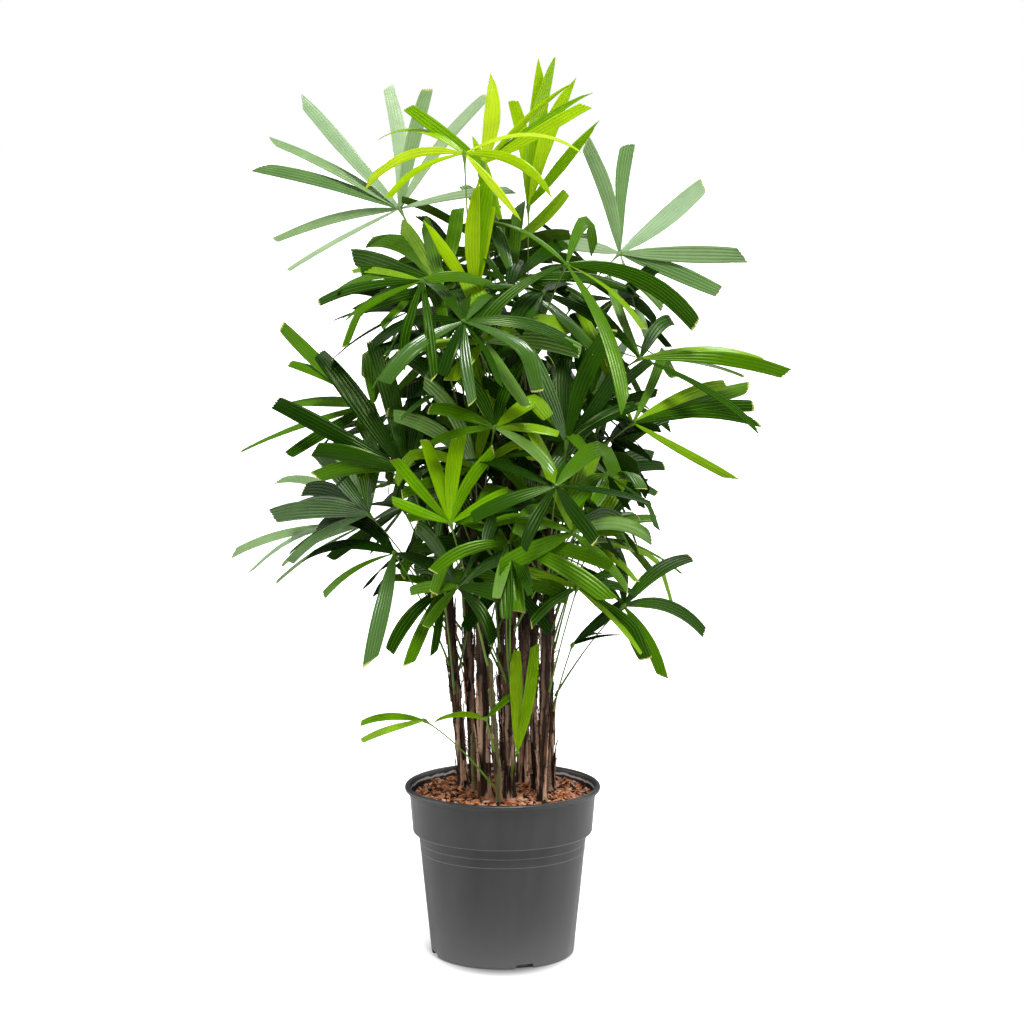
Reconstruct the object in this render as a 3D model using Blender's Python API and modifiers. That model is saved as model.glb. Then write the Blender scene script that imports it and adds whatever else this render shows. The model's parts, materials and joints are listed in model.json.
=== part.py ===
"""Lady palm in a round nursery pot, as separate solids.

Metres, +Z up, the front faces -Y and the pot's underside is at z = 0.
"""
import math
import random
from collections import namedtuple

import bmesh
import bpy
from mathutils import Vector
from mathutils.bvhtree import BVHTree

# Clearance between pieces that touch on the real plant
GAP = 0.0003

# Pot, from its underside up
POT_HEIGHT = 0.237
RIM_RADIUS = 0.135
RIM_LIP = 0.008
LIP_ANGLES = (180, 120, 60, 0, -60)
COLLAR_TOP_RADIUS = 0.1285
COLLAR_FOOT_RADIUS = 0.124
COLLAR_FOOT = 0.172
COLLAR_EDGE = 0.0012
COLLAR_ROUND = 0.002
SHOULDER_RADIUS = 0.1165
BASE_RADIUS = 0.099
BASE_ROUND = 0.004
ROUND_CORNER = 0.3
WALL = 0.0022
FLOOR = 0.009
STEP_HEIGHTS = (0.158, 0.1455)
STEP_DEPTH = 0.0007
POT_SIDES = 36

# Drain notches round the bottom edge
NOTCHES = 4
NOTCH_TURN = 18
NOTCH_WIDTH = 0.029
NOTCH_NARROW = 0.023
NOTCH_HEIGHT = 0.007
NOTCH_DEPTH = 0.009
NOTCH_BELOW = -0.002

# Soil: a flat middle that slopes down to the wall
SOIL_TOP = 0.2275
SOIL_FLAT_RADIUS = 0.100
SOIL_EDGE = 0.221
SOIL_SKIRT = 0.006
SOIL_ROOM = 0.0008

# Canes
CANE_SIDES = 8
CANE_FOOT = SOIL_TOP + GAP
FLARE = 1.35
FLARE_SHARE = 0.06
CANE_TAPER = 0.8
CANE_STATIONS = (0.03, 0.07, 0.4, 0.75, 0.985)
CANE_TIP = 0.5

# Stalks and leaflets
STALK_RADIUS = 0.0022
STALK_SIDES = 3
STALK_POINTS = 5
STALK_RISE = 0.18
STALK_CLEAR = 0.0002
SEAT = 0.0004
SEATING_PASSES = 4
LOWEST_SEAT = 0.02
HIGHEST_SEAT = 0.97
HUB_RADIUS = 0.0085
CURVE_STEPS = 20
LEAF_STATIONS = (0, 4, 12, 20)
LEAF_PROFILE = (0.16, 0.86, 1.0, 0.58)
LEAF_START = 0.002
LEAF_MIN_THICKNESS = 0.0020
THICKNESS_SHARE = 1 / 90
LENGTH_SPREAD = (0.93, 1.04)
WIDTH_SPREAD = (0.85, 1.15)
DROOP_POWER = 1.5
OUTER_SHORTER = 0.28
OUTER_NARROWER = 0.30
ROLL = 22
DEEPEST_LEAN = 2.2
CLEAR = 0.0005

# What a stalk or a leaflet tries in turn until it touches nothing
STALK_RAISES = (0.0, 0.02, -0.02, 0.04, -0.04, 0.07, -0.07, -0.10)
STALK_SWAYS = (0.0, 0.01, -0.01, 0.02, -0.02, 0.035, -0.035, 0.05, -0.05)
LEAF_CUTS = (1.0, 0.86, 0.72)
LEAF_SHIFTS = ((0, 0.0), (4, 0.0), (-4, 0.0), (0, -0.15), (0, 0.15), (8, 0.0), (-8, 0.0),
               (4, -0.2), (-4, -0.2), (6, 0.25), (-6, 0.25), (12, 0.0), (-12, 0.0))

Cane = namedtuple("Cane", "name foot top radius bow")
Frond = namedtuple("Frond", "name cane leaves hub face headings reach width droop tone")

# Each cane: where it stands, where its tip ends, its radius and how far it bows outward
CANES = (
    Cane("cane_left", (-0.053, 0.016), (-0.082, 0.030, 0.640), 0.0075, 0.003),
    Cane("cane_stub", (-0.037, -0.003), (-0.040, -0.004, 0.310), 0.0050, 0.001),
    Cane("cane_front_left", (-0.023, -0.044), (-0.036, -0.035, 0.860), 0.0090, 0.002),
    Cane("cane_young", (-0.004, -0.073), (-0.018, -0.084, 0.430), 0.0050, -0.003),
    Cane("cane_slim", (0.002, -0.020), (-0.012, 0.006, 0.900), 0.0055, 0.002),
    Cane("cane_front", (0.009, -0.045), (0.012, -0.040, 0.800), 0.0085, 0.001),
    Cane("cane_tall", (0.027, 0.046), (0.034, 0.036, 0.880), 0.0085, 0.003),
    Cane("cane_right_slim", (0.043, -0.002), (0.046, -0.004, 0.740), 0.0055, -0.002),
    Cane("cane_right", (0.054, -0.061), (0.064, -0.062, 0.620), 0.0070, -0.001),
    Cane("cane_right_back", (0.067, -0.002), (0.076, 0.014, 0.680), 0.0060, -0.006),
    Cane("cane_back_left", (-0.040, 0.052), (-0.056, 0.078, 0.760), 0.0070, 0.003),
    Cane("cane_back_right", (0.055, 0.060), (0.066, 0.090, 0.700), 0.0065, 0.002),
)

# Each frond: its cane, the height where its stalk leaves the cane, the hub where its leaflets meet,
# the way its upper face looks (degrees from the front towards +X, degrees up), the headings of its
# leaflets as seen from the front (degrees clockwise from straight up), the longest leaflet,
# the widest one, the droop and the colour tone. A pair among the headings is a leaflet that is
# narrower or wider than its fan: its heading and its share of the width
FRONDS = (
    Frond("grey_top", "cane_front_left", 0.80, (-0.140, 0.060, 1.025), (-20, 30),
          (-114, -95, -75, -62, -39, -9, 15, 36, 80), 0.245, 0.019, 0.12, "dusty"),
    Frond("spear", "cane_tall", 0.86, (0.035, 0.015, 1.030), (0, 5),
          (-8, 4, 10, 18, 37), 0.205, 0.024, 0.08, "lime"),
    Frond("lime_crest", "cane_slim", 0.87, (-0.025, -0.045, 1.090), (10, 20),
          ((5, 1.5), (42, 0.5), (49, 0.45), (58, 0.7), -50), 0.170, 0.022, 0.20, "lime"),
    Frond("lime_arch", "cane_front_left", 0.84, (-0.050, -0.080, 1.105), (-10, 50),
          (-102, -88, -74, -58, 74, 100, 118), 0.170, 0.015, 0.85, "lime"),
    Frond("lime_upright", "cane_front", 0.76, (-0.035, -0.070, 0.915), (-10, 5),
          (-30, -10, -2, 9), 0.165, 0.020, 0.05, "lime"),
    Frond("left_shoulder", "cane_front_left", 0.72, (-0.080, -0.080, 0.930), (-20, 35),
          (-88, -74, -59, -44, -29, -13, 16), 0.195, 0.024, 0.35, "mid"),
    Frond("left_sweep", "cane_front_left", 0.68, (-0.105, -0.120, 0.940), (-30, 50),
          (-108, -98, -88, -76, -62, -150, 170), 0.205, 0.015, 0.70, "mid"),
    Frond("left_hand", "cane_left", 0.56, (-0.175, -0.020, 0.765), (-30, 30),
          (-125, -110, -84, -15, -51, -66), 0.215, 0.020, 0.15, "mid"),
    Frond("left_inner", "cane_left", 0.50, (-0.130, -0.090, 0.685), (-10, 25),
          (-84, -72, -60, -34, -14, 3, 24), 0.205, 0.024, 0.25, "dark"),
    Frond("left_fall", "cane_left", 0.46, (-0.180, -0.050, 0.620), (-35, 35),
          (-112, -100, -88, -74, -58, -40, -18, 12), 0.185, 0.022, 0.40, "dark"),
    Frond("left_low_back", "cane_back_left", 0.44, (-0.190, 0.050, 0.590), (-40, 45),
          (-114, -106, -98, -88, -60, -20, 60), 0.225, 0.013, 0.60, "dusty"),
    Frond("left_low", "cane_left", 0.40, (-0.145, -0.070, 0.570), (-30, 50),
          (95, -30, -56, -163, -82, -100), 0.185, 0.024, 0.60, "dark"),
    Frond("low_tuft", "cane_left", 0.36, (-0.080, -0.060, 0.520), (-20, 50),
          (-164, -146, -128, -72, -50), 0.135, 0.016, 0.70, "mid"),
    Frond("centre_low", "cane_front", 0.42, (0.010, -0.170, 0.600), (0, 55),
          (-100, -86, -70, -160, -176, 168, 150, 106, 88, 52, 22), 0.165, 0.020, 0.60, "mid"),
    Frond("centre_right", "cane_right", 0.52, (0.085, -0.110, 0.725), (10, 20),
          (-64, -50, -24, 3, 19, 34, 60), 0.160, 0.022, 0.25, "dark"),
    Frond("centre_crown", "cane_front", 0.74, (-0.050, -0.160, 0.890), (-5, 55),
          (-148, -112, -72, -46, -14, 26, 84, 106, 130, 168), 0.165, 0.022, 0.80, "dark"),
    Frond("crown_heart", "cane_tall", 0.78, (0.015, -0.040, 0.935), (5, 40),
          (-130, -95, -60, -24, 12, 48, 84, 120, 165), 0.180, 0.020, 0.45, "dark"),
    Frond("right_crown", "cane_front", 0.78, (0.085, -0.090, 0.960), (25, 45),
          (-104, -50, 90, 155, 100, 108, 20), 0.230, 0.020, 0.75, "mid"),
    Frond("grey_right", "cane_tall", 0.82, (0.160, 0.050, 0.965), (22, 18),
          (-58, -17, 8, 50, 92, 113, 156), 0.180, 0.022, 0.12, "dusty"),
    Frond("right_long", "cane_right_slim", 0.70, (0.185, -0.040, 0.830), (20, 45),
          (-82, -50, 30, 84, 91, 98, 112, -20), 0.225, 0.018, 0.35, "mid"),
    Frond("right_hand", "cane_right_slim", 0.60, (0.175, -0.060, 0.745), (20, 40),
          (-60, -24, 20, 62, 69, 76, 84, 112), 0.215, 0.017, 0.30, "mid"),
    Frond("right_inner", "cane_right_back", 0.62, (0.120, 0.040, 0.750), (20, 20),
          (-60, -36, -10, 12, 30, 48, 72, 100), 0.140, 0.017, 0.30, "dark"),
    Frond("right_back", "cane_right_back", 0.54, (0.125, 0.080, 0.650), (30, 30),
          (-50, -16, 10, 34, 56, 72, 88), 0.165, 0.018, 0.40, "dark"),
    Frond("right_blade", "cane_right", 0.44, (0.115, -0.050, 0.590), (25, 30),
          (-40, -14, 8, 28, 44, 62, 84), 0.145, 0.020, 0.30, "mid"),
    Frond("right_thin", "cane_right_back", 0.46, (0.105, 0.060, 0.565), (35, 50),
          (56, 66, 76, 88, 98, 130), 0.215, 0.012, 0.50, "mid"),
    Frond("right_low", "cane_right_back", 0.36, (0.165, -0.020, 0.490), (35, 45),
          (-40, 0, 56, 88, 136), 0.185, 0.019, 0.50, "mid"),
    Frond("right_tuft", "cane_right", 0.38, (0.100, -0.110, 0.530), (30, 45),
          (-110, -70, 60, 116, 126, 84), 0.140, 0.020, 0.45, "mid"),
    Frond("low_leaf", "cane_right_back", 0.34, (0.095, -0.045, 0.440), (20, 50),
          (56, 66, 80), 0.120, 0.015, 0.30, "dark"),
    Frond("sucker", "cane_front", 0.26, (0.020, -0.085, 0.300), (0, 10),
          (-5, 17), 0.200, 0.020, 0.10, "young"),
    Frond("sucker_left", "cane_young", 0.25, (-0.105, -0.090, 0.345), (-20, 45),
          (-100, -84), 0.135, 0.014, 0.45, "young"),
    Frond("stub_leaf", "cane_young", 0.30, (-0.022, -0.104, 0.350), (-10, 45),
          (-78, 40), 0.100, 0.013, 0.40, "young"),
    Frond("inner_fan", "cane_front_left", 0.50, (-0.035, -0.130, 0.695), (-10, 20),
          (-110, -78, -52, -26, -4, 18, 42), 0.140, 0.018, 0.30, "mid"),
    Frond("low_upright", "cane_young", 0.42, (-0.068, -0.165, 0.625), (0, 15),
          (-62, -40, -16, 6, 30, 60), 0.120, 0.018, 0.20, "young"),
    Frond("middle_left", "cane_front_left", 0.60, (-0.010, -0.150, 0.750), (-10, 35),
          (-96, -64, -36, -8, 20, 50, 84, 120), 0.150, 0.020, 0.45, "mid"),
    Frond("centre_leaf", "cane_front", 0.50, (0.040, -0.130, 0.650), (20, 30),
          (-110, -78, -40, -10, 34, 58, 84, 112), 0.130, 0.019, 0.30, "dark"),
    Frond("back_crown", "cane_slim", 0.84, (-0.010, 0.110, 0.960), (170, 40),
          (-122, -86, -52, -18, 18, 52, 86, 122), 0.165, 0.019, 0.35, "mid"),
    Frond("back_upper", "cane_back_left", 0.74, (-0.050, 0.190, 0.900), (-165, 40),
          (-125, -90, -56, -20, 18, 54, 90), 0.185, 0.018, 0.40, "dark"),
    Frond("back_high_left", "cane_back_left", 0.70, (-0.130, 0.110, 0.880), (-115, 40),
          (-150, -115, -80, -50, -15, 30, 80, 130), 0.190, 0.019, 0.40, "dark"),
    Frond("back_high_right", "cane_tall", 0.76, (0.140, 0.120, 0.850), (115, 40),
          (150, 120, 92, 66, -30, -80, -130), 0.185, 0.019, 0.40, "mid"),
    Frond("back_middle", "cane_tall", 0.64, (0.020, 0.200, 0.800), (180, 40),
          (-125, -88, -52, -18, 18, 52, 88, 125), 0.190, 0.020, 0.45, "dusty"),
    Frond("back_left", "cane_back_left", 0.60, (-0.170, 0.110, 0.720), (-110, 35),
          (-150, -115, -84, -52, -15, 35, 90, 140), 0.180, 0.019, 0.45, "mid"),
    Frond("back_right", "cane_back_right", 0.62, (0.150, 0.130, 0.700), (110, 35),
          (150, 115, 84, 52, 15, -35, -90, -140), 0.165, 0.019, 0.45, "dark"),
    Frond("back_low", "cane_back_left", 0.50, (-0.030, 0.200, 0.660), (-170, 45),
          (-130, -92, -56, -20, 16, 52, 90, 130), 0.180, 0.019, 0.50, "mid"),
    Frond("back_low_left", "cane_back_left", 0.40, (-0.140, 0.140, 0.600), (-125, 45),
          (-150, -120, -88, -56, -20, 30, 100), 0.175, 0.018, 0.50, "dark"),
    Frond("back_low_right", "cane_back_right", 0.46, (0.115, 0.160, 0.590), (125, 45),
          (150, 120, 88, 56, 20, -30, -100), 0.155, 0.018, 0.50, "mid"),
    Frond("back_skirt", "cane_back_right", 0.36, (0.020, 0.140, 0.530), (175, 50),
          (-112, -76, -36, 0, 36, 76, 112), 0.150, 0.018, 0.60, "mid"),
)

TONES = {
    "dusty": (0.16, 0.30, 0.17),
    "lime": (0.42, 0.58, 0.05),
    "mid": (0.10, 0.26, 0.04),
    "dark": (0.04, 0.15, 0.04),
    "young": (0.22, 0.42, 0.06),
}


def material(name, colour, roughness):
    """A plain Principled material."""
    made = bpy.data.materials.new(name)
    made.use_nodes = True
    shader = made.node_tree.nodes["Principled BSDF"]
    shader.inputs["Base Color"].default_value = (*colour, 1.0)
    shader.inputs["Roughness"].default_value = roughness
    return made


def face_outward(mesh):
    """Turn every face of a closed mesh outward."""
    work = bmesh.new()
    work.from_mesh(mesh)
    bmesh.ops.recalc_face_normals(work, faces=work.faces)
    work.to_mesh(mesh)
    work.free()


def new_object(name, points, faces, home):
    """A closed solid from points and faces, linked to a collection."""
    mesh = bpy.data.meshes.new(name)
    mesh.from_pydata([tuple(p) for p in points], [], faces)
    face_outward(mesh)
    made = bpy.data.objects.new(name, mesh)
    home.objects.link(made)
    return made


def bake_modifiers(made):
    """Replace an object's mesh by what its modifiers make of it."""
    graph = bpy.context.evaluated_depsgraph_get()
    mesh = bpy.data.meshes.new_from_object(made.evaluated_get(graph))
    made.modifiers.clear()
    made.data = mesh


def turned(name, profile, steps, home):
    """Turn a profile of (radius, height) pairs about the Z axis into a closed solid."""
    points = [(radius, 0.0, height) for radius, height in profile]
    mesh = bpy.data.meshes.new(name)
    mesh.from_pydata(points, [(i, i + 1) for i in range(len(points) - 1)], [])
    made = bpy.data.objects.new(name, mesh)
    home.objects.link(made)
    screw = made.modifiers.new("turn", "SCREW")
    screw.axis = "Z"
    screw.steps = steps
    screw.render_steps = steps
    screw.use_merge_vertices = True
    screw.merge_threshold = 0.0001
    screw.use_smooth_shade = True
    bake_modifiers(made)
    face_outward(made.data)
    return made


def outer_radius(height):
    """Radius of the pot's plain tapered body at a height."""
    return BASE_RADIUS + (SHOULDER_RADIUS - BASE_RADIUS) * height / COLLAR_FOOT


def pot_profile():
    """The pot's section: up the inside, over the lip and down the outside."""
    lip = RIM_LIP / 2
    inner_top = RIM_RADIUS - RIM_LIP
    inside = [
        (0.0, FLOOR),
        (outer_radius(FLOOR) - WALL, FLOOR),
        (SHOULDER_RADIUS - WALL, COLLAR_FOOT),
        (COLLAR_FOOT_RADIUS - WALL, COLLAR_FOOT + WALL),
        (inner_top, POT_HEIGHT - 2 * RIM_LIP),
    ]
    rim = []
    for degrees in LIP_ANGLES:
        angle = math.radians(degrees)
        rim.append((RIM_RADIUS - lip + lip * math.cos(angle), POT_HEIGHT - lip + lip * math.sin(angle)))
    outside = [
        (COLLAR_TOP_RADIUS, POT_HEIGHT - RIM_LIP),
        (COLLAR_FOOT_RADIUS, COLLAR_FOOT + COLLAR_ROUND),
        (COLLAR_FOOT_RADIUS - COLLAR_EDGE, COLLAR_FOOT),
        (SHOULDER_RADIUS, COLLAR_FOOT),
    ]
    for height in STEP_HEIGHTS:
        outside.append((outer_radius(height), height))
        outside.append((outer_radius(height) - STEP_DEPTH, height - STEP_DEPTH))
    outside.append((BASE_RADIUS, BASE_ROUND))
    outside.append((BASE_RADIUS - ROUND_CORNER * BASE_ROUND, ROUND_CORNER * BASE_ROUND))
    outside.append((BASE_RADIUS - BASE_ROUND, 0.0))
    return inside + rim + outside + [(0.0, 0.0)]


def notch_cutter(number, home):
    """One wedge that cuts a drain notch out of the bottom edge."""
    turn = math.radians(NOTCH_TURN + number * 360 / NOTCHES)
    outward = Vector((math.sin(turn), -math.cos(turn), 0.0))
    along = Vector((math.cos(turn), math.sin(turn), 0.0))
    points = []
    for distance in (BASE_RADIUS - NOTCH_DEPTH, BASE_RADIUS + NOTCH_DEPTH):
        for half, height in ((NOTCH_WIDTH / 2, NOTCH_BELOW), (NOTCH_NARROW / 2, NOTCH_HEIGHT)):
            for side in (-1, 1):
                points.append(outward * distance + along * half * side + Vector((0, 0, height)))
    faces = [(0, 2, 3, 1), (4, 5, 7, 6), (0, 1, 5, 4), (2, 6, 7, 3), (0, 4, 6, 2), (1, 3, 7, 5)]
    return new_object(f"notch_cutter_{number}", points, faces, home)


def build_pot(home, cutters):
    """The pot with its collar, lip, fine steps and drain notches."""
    pot = turned("pot", pot_profile(), POT_SIDES, home)
    for number in range(NOTCHES):
        notch_cutter(number, cutters)
    cut = pot.modifiers.new("notches", "BOOLEAN")
    cut.operation = "DIFFERENCE"
    cut.operand_type = "COLLECTION"
    cut.collection = cutters
    bake_modifiers(pot)
    pot.data.materials.clear()
    pot.data.materials.append(material("pot_plastic", (0.055, 0.057, 0.06), 0.45))


def build_soil(home):
    """The bark chips that fill the pot, as one plug clear of its walls."""
    room = WALL + GAP
    ledge = COLLAR_FOOT + WALL + GAP
    edge = RIM_RADIUS - RIM_LIP - GAP - COLLAR_EDGE
    collar = COLLAR_FOOT_RADIUS - room - SOIL_ROOM
    body = SHOULDER_RADIUS - room - SOIL_ROOM
    soil = turned("bark_substrate", [
        (0.0, SOIL_TOP),
        (SOIL_FLAT_RADIUS, SOIL_TOP),
        (edge, SOIL_EDGE),
        (edge, SOIL_EDGE - SOIL_SKIRT),
        (collar, ledge),
        (body, ledge),
        (body, COLLAR_FOOT - WALL),
        (outer_radius(FLOOR) - room, FLOOR + GAP),
        (0.0, FLOOR + GAP),
    ], POT_SIDES, home)
    soil.data.materials.append(material("bark_chips", (0.17, 0.07, 0.04), 0.95))


def loft(rings):
    """Points and faces of a closed tube through rings of equal size."""
    sides = len(rings[0])
    points = [p for ring in rings for p in ring]
    faces = [tuple(reversed(range(sides)))]
    for row in range(len(rings) - 1):
        low = row * sides
        for i in range(sides):
            j = (i + 1) % sides
            faces.append((low + i, low + j, low + sides + j, low + sides + i))
    faces.append(tuple(range((len(rings) - 1) * sides, len(rings) * sides)))
    return points, faces


def ring(centre, heading, radius, sides):
    """A ring of points square to a heading."""
    across = heading.cross(Vector((0.0, -1.0, 0.0))).normalized()
    other = heading.cross(across).normalized()
    made = []
    for i in range(sides):
        angle = 2 * math.pi * i / sides
        made.append(centre + (across * math.cos(angle) + other * math.sin(angle)) * radius)
    return made


def cane_centre(cane, share):
    """Point on a cane's axis, from its foot (share 0) to its tip (share 1)."""
    foot = Vector((*cane.foot, CANE_FOOT))
    outward = Vector((*cane.foot, 0.0)).normalized()
    straight = foot.lerp(Vector(cane.top), share)
    return straight + outward * cane.bow * 4 * share * (1 - share)


def cane_radius(cane, share):
    """Radius of a cane: a flared foot, then an even taper."""
    flare = 1 + (FLARE - 1) * max(0.0, 1 - share / FLARE_SHARE) ** 2
    return cane.radius * flare * (1 - (1 - CANE_TAPER) * share)


def build_cane(cane, home, look):
    """One cane, cut flat at the soil and rounded at its tip."""
    up = Vector((0.0, 0.0, 1.0))
    rings = [ring(cane_centre(cane, 0.0), up, cane_radius(cane, 0.0), CANE_SIDES)]
    for share in CANE_STATIONS:
        heading = (cane_centre(cane, share + 0.01) - cane_centre(cane, share - 0.01)).normalized()
        rings.append(ring(cane_centre(cane, share), heading, cane_radius(cane, share), CANE_SIDES))
    rings.append(ring(cane_centre(cane, 1.0), up, cane_radius(cane, 1.0) * CANE_TIP, CANE_SIDES))
    made = new_object(cane.name, *loft(rings), home)
    made.data.materials.append(look)
    made.data.polygons.foreach_set("use_smooth", [len(p.vertices) == 4 for p in made.data.polygons])
    return made


def share_at(cane, height):
    """How far up a cane a height is, as a share of its length."""
    return min(HIGHEST_SEAT, max(LOWEST_SEAT, (height - CANE_FOOT) / (cane.top[2] - CANE_FOOT)))


def tube(path, radius, sides):
    """Points and faces of a thin closed tube along a path."""
    rings = []
    for i, centre in enumerate(path):
        before = path[max(0, i - 1)]
        after = path[min(len(path) - 1, i + 1)]
        rings.append(ring(centre, (after - before).normalized(), radius, sides))
    return loft(rings)


def bend(start, middle, end):
    """Points of a smooth bend between two ends."""
    path = []
    for step in range(STALK_POINTS):
        t = step / (STALK_POINTS - 1)
        path.append(start * (1 - t) ** 2 + middle * 2 * t * (1 - t) + end * t ** 2)
    return path


def stalk_path(frond, cane, bark, raise_by, sway):
    """Points of a stalk: seated on the side of its cane, up steeply, then over to the hub."""
    share = share_at(cane, frond.leaves + raise_by)
    axis = cane_centre(cane, share)
    hub = Vector(frond.hub)
    aside = Vector((hub.x - axis.x, hub.y - axis.y, 0.0)).normalized()
    across = Vector((-aside.y, aside.x, 0.0))
    start = axis + aside * (cane_radius(cane, share) + STALK_RADIUS)
    for _ in range(SEATING_PASSES):
        middle = start.lerp(hub, 0.5) + across * sway
        middle.z += STALK_RISE * aside.dot(hub - start)
        path = bend(start, middle, hub)
        foot = tube(path, STALK_RADIUS, STALK_SIDES)[0][:STALK_SIDES]
        start -= aside * (min(bark.find_nearest(p)[3] for p in foot) - SEAT)
    return path


def face_normal(frond):
    """The way a frond's upper face looks."""
    turn, tilt = (math.radians(a) for a in frond.face)
    return Vector((math.sin(turn) * math.cos(tilt), -math.cos(turn) * math.cos(tilt), math.sin(tilt)))


def heading_of(normal, seen):
    """Direction in a frond's plane that looks from the front like the given clock angle."""
    right = math.sin(math.radians(seen))
    rise = math.cos(math.radians(seen))
    lean = -(right * normal.x + rise * normal.z) / normal.y
    lean = max(-DEEPEST_LEAN, min(DEEPEST_LEAN, lean))
    return Vector((right, lean, rise)).normalized()


def leaf_curve(hub, heading, length, droop):
    """Points and headings of a leaflet's rib, which sags more towards its tip."""
    point = hub + heading * LEAF_START
    points = [point]
    headings = [heading]
    for step in range(1, CURVE_STEPS + 1):
        sag = droop * (step / CURVE_STEPS) ** DROOP_POWER
        headings.append((heading - Vector((0.0, 0.0, sag))).normalized())
        point = point + (headings[-2] + headings[-1]).normalized() * length / CURVE_STEPS
        points.append(point)
    return points, headings


def leaf_solid(hub, normal, heading, length, width, droop, roll, extra=0.0):
    """A leaflet as a thin blade: flat on top, with its rib as a keel below."""
    points, headings = leaf_curve(hub, heading, length, droop)
    thickness = max(LEAF_MIN_THICKNESS, length * THICKNESS_SHARE)
    rings = []
    for station, share in zip(LEAF_STATIONS, LEAF_PROFILE):
        along = headings[station]
        over = (normal - along * normal.dot(along)).normalized()
        side = along.cross(over)
        lifted = over * math.cos(roll) + side * math.sin(roll)
        side = along.cross(lifted)
        half = side * (width * share / 2 + extra)
        centre = points[station]
        top = lifted * (thickness / 3 + extra)
        keel = lifted * (-2 * thickness / 3 - extra)
        rings.append([centre - half + top, centre + keel, centre + half + top])
    return loft(rings)


def leaf_plan(frond):
    """Heading, length, width and roll of each leaflet of a frond."""
    chance = random.Random(frond.name)
    middle = (len(frond.headings) - 1) / 2
    plan = []
    for i, entry in enumerate(frond.headings):
        seen, share = entry if isinstance(entry, tuple) else (entry, 1.0)
        aside = (i - middle) / max(middle, 0.5)
        length = frond.reach * (1 - OUTER_SHORTER * aside ** 2) * chance.uniform(*LENGTH_SPREAD)
        width = frond.width * (1 - OUTER_NARROWER * aside ** 2) * chance.uniform(*WIDTH_SPREAD)
        width *= share
        roll = math.radians(ROLL) * chance.uniform(-1, 1)
        plan.append((seen, length, width, roll))
    return plan


def knuckle(hub, extra=0.0):
    """The small eight-faced knuckle where the leaflets meet."""
    reach = HUB_RADIUS + extra
    points = [hub + Vector(way) * reach for way in
              ((1, 0, 0), (0, 1, 0), (-1, 0, 0), (0, -1, 0), (0, 0, 1), (0, 0, -1))]
    faces = [(i, (i + 1) % 4, 4) for i in range(4)] + [((i + 1) % 4, i, 5) for i in range(4)]
    return points, faces


class Space:
    """What stands already, so that the next piece can be kept clear of it."""

    def __init__(self):
        self.pieces = []

    def add(self, owner, points, faces):
        """Remember a piece and who it belongs to."""
        low = [min(p[i] for p in points) for i in range(3)]
        high = [max(p[i] for p in points) for i in range(3)]
        self.pieces.append((owner, low, high, BVHTree.FromPolygons(points, faces)))

    def free(self, owner, points, faces):
        """Whether a piece clears all that isn't its owner's."""
        low = [min(p[i] for p in points) for i in range(3)]
        high = [max(p[i] for p in points) for i in range(3)]
        tree = None
        for other, other_low, other_high, other_tree in self.pieces:
            if other == owner:
                continue
            if any(low[i] > other_high[i] or high[i] < other_low[i] for i in range(3)):
                continue
            tree = tree or BVHTree.FromPolygons(points, faces)
            if tree.overlap(other_tree):
                return False
        return True


def place_stalk(frond, canes, barks, space):
    """The first way up for a stalk that touches nothing, or None."""
    for raise_by in STALK_RAISES:
        for sway in STALK_SWAYS:
            path = stalk_path(frond, canes[frond.cane], barks[frond.cane], raise_by, sway)
            if space.free(frond.name, *tube(path, STALK_RADIUS + STALK_CLEAR, STALK_SIDES)):
                return path
    return None


def place_leaf(frond, normal, leaf, space):
    """A leaflet that touches no other frond: turned, lifted or shortened a little, or None."""
    seen, length, width, roll = leaf
    hub = Vector(frond.hub)
    for shorter in LEAF_CUTS:
        for turn, lift in LEAF_SHIFTS:
            shape = (hub, normal, heading_of(normal, seen + turn), length * shorter, width,
                     frond.droop + lift, roll)
            if space.free(frond.name, *leaf_solid(*shape, extra=CLEAR)):
                return leaf_solid(*shape)
    return None


def keep_outer_shell(made):
    """Drop the tiny closed pockets that can be left where many blades meet."""
    work = bmesh.new()
    work.from_mesh(made.data)
    unseen = set(work.faces)
    shells = []
    while unseen:
        shell = []
        frontier = [unseen.pop()]
        while frontier:
            face = frontier.pop()
            shell.append(face)
            for edge in face.edges:
                for near in edge.link_faces:
                    if near in unseen:
                        unseen.remove(near)
                        frontier.append(near)
        shells.append(shell)
    shells.sort(key=len)
    pockets = [face for shell in shells[:-1] for face in shell]
    bmesh.ops.delete(work, geom=pockets, context="FACES")
    work.to_mesh(made.data)
    work.free()


def join_frond(frond, stalk, leaves, home, scraps, look):
    """Unite stalk, knuckle and leaflets into one solid."""
    made = new_object(f"frond_{frond.name}", *tube(stalk, STALK_RADIUS, STALK_SIDES), home)
    new_object(f"knuckle_{frond.name}", *knuckle(Vector(frond.hub)), scraps)
    for number, leaf in enumerate(leaves):
        new_object(f"leaf_{frond.name}_{number}", *leaf, scraps)
    union = made.modifiers.new("join", "BOOLEAN")
    union.operation = "UNION"
    union.operand_type = "COLLECTION"
    union.collection = scraps
    # EXACT leaves loose slivers where many thin blades meet
    union.solver = "MANIFOLD"
    bake_modifiers(made)
    keep_outer_shell(made)
    for scrap in list(scraps.objects):
        bpy.data.objects.remove(scrap)
    made.data.materials.clear()
    made.data.materials.append(look)


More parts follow.
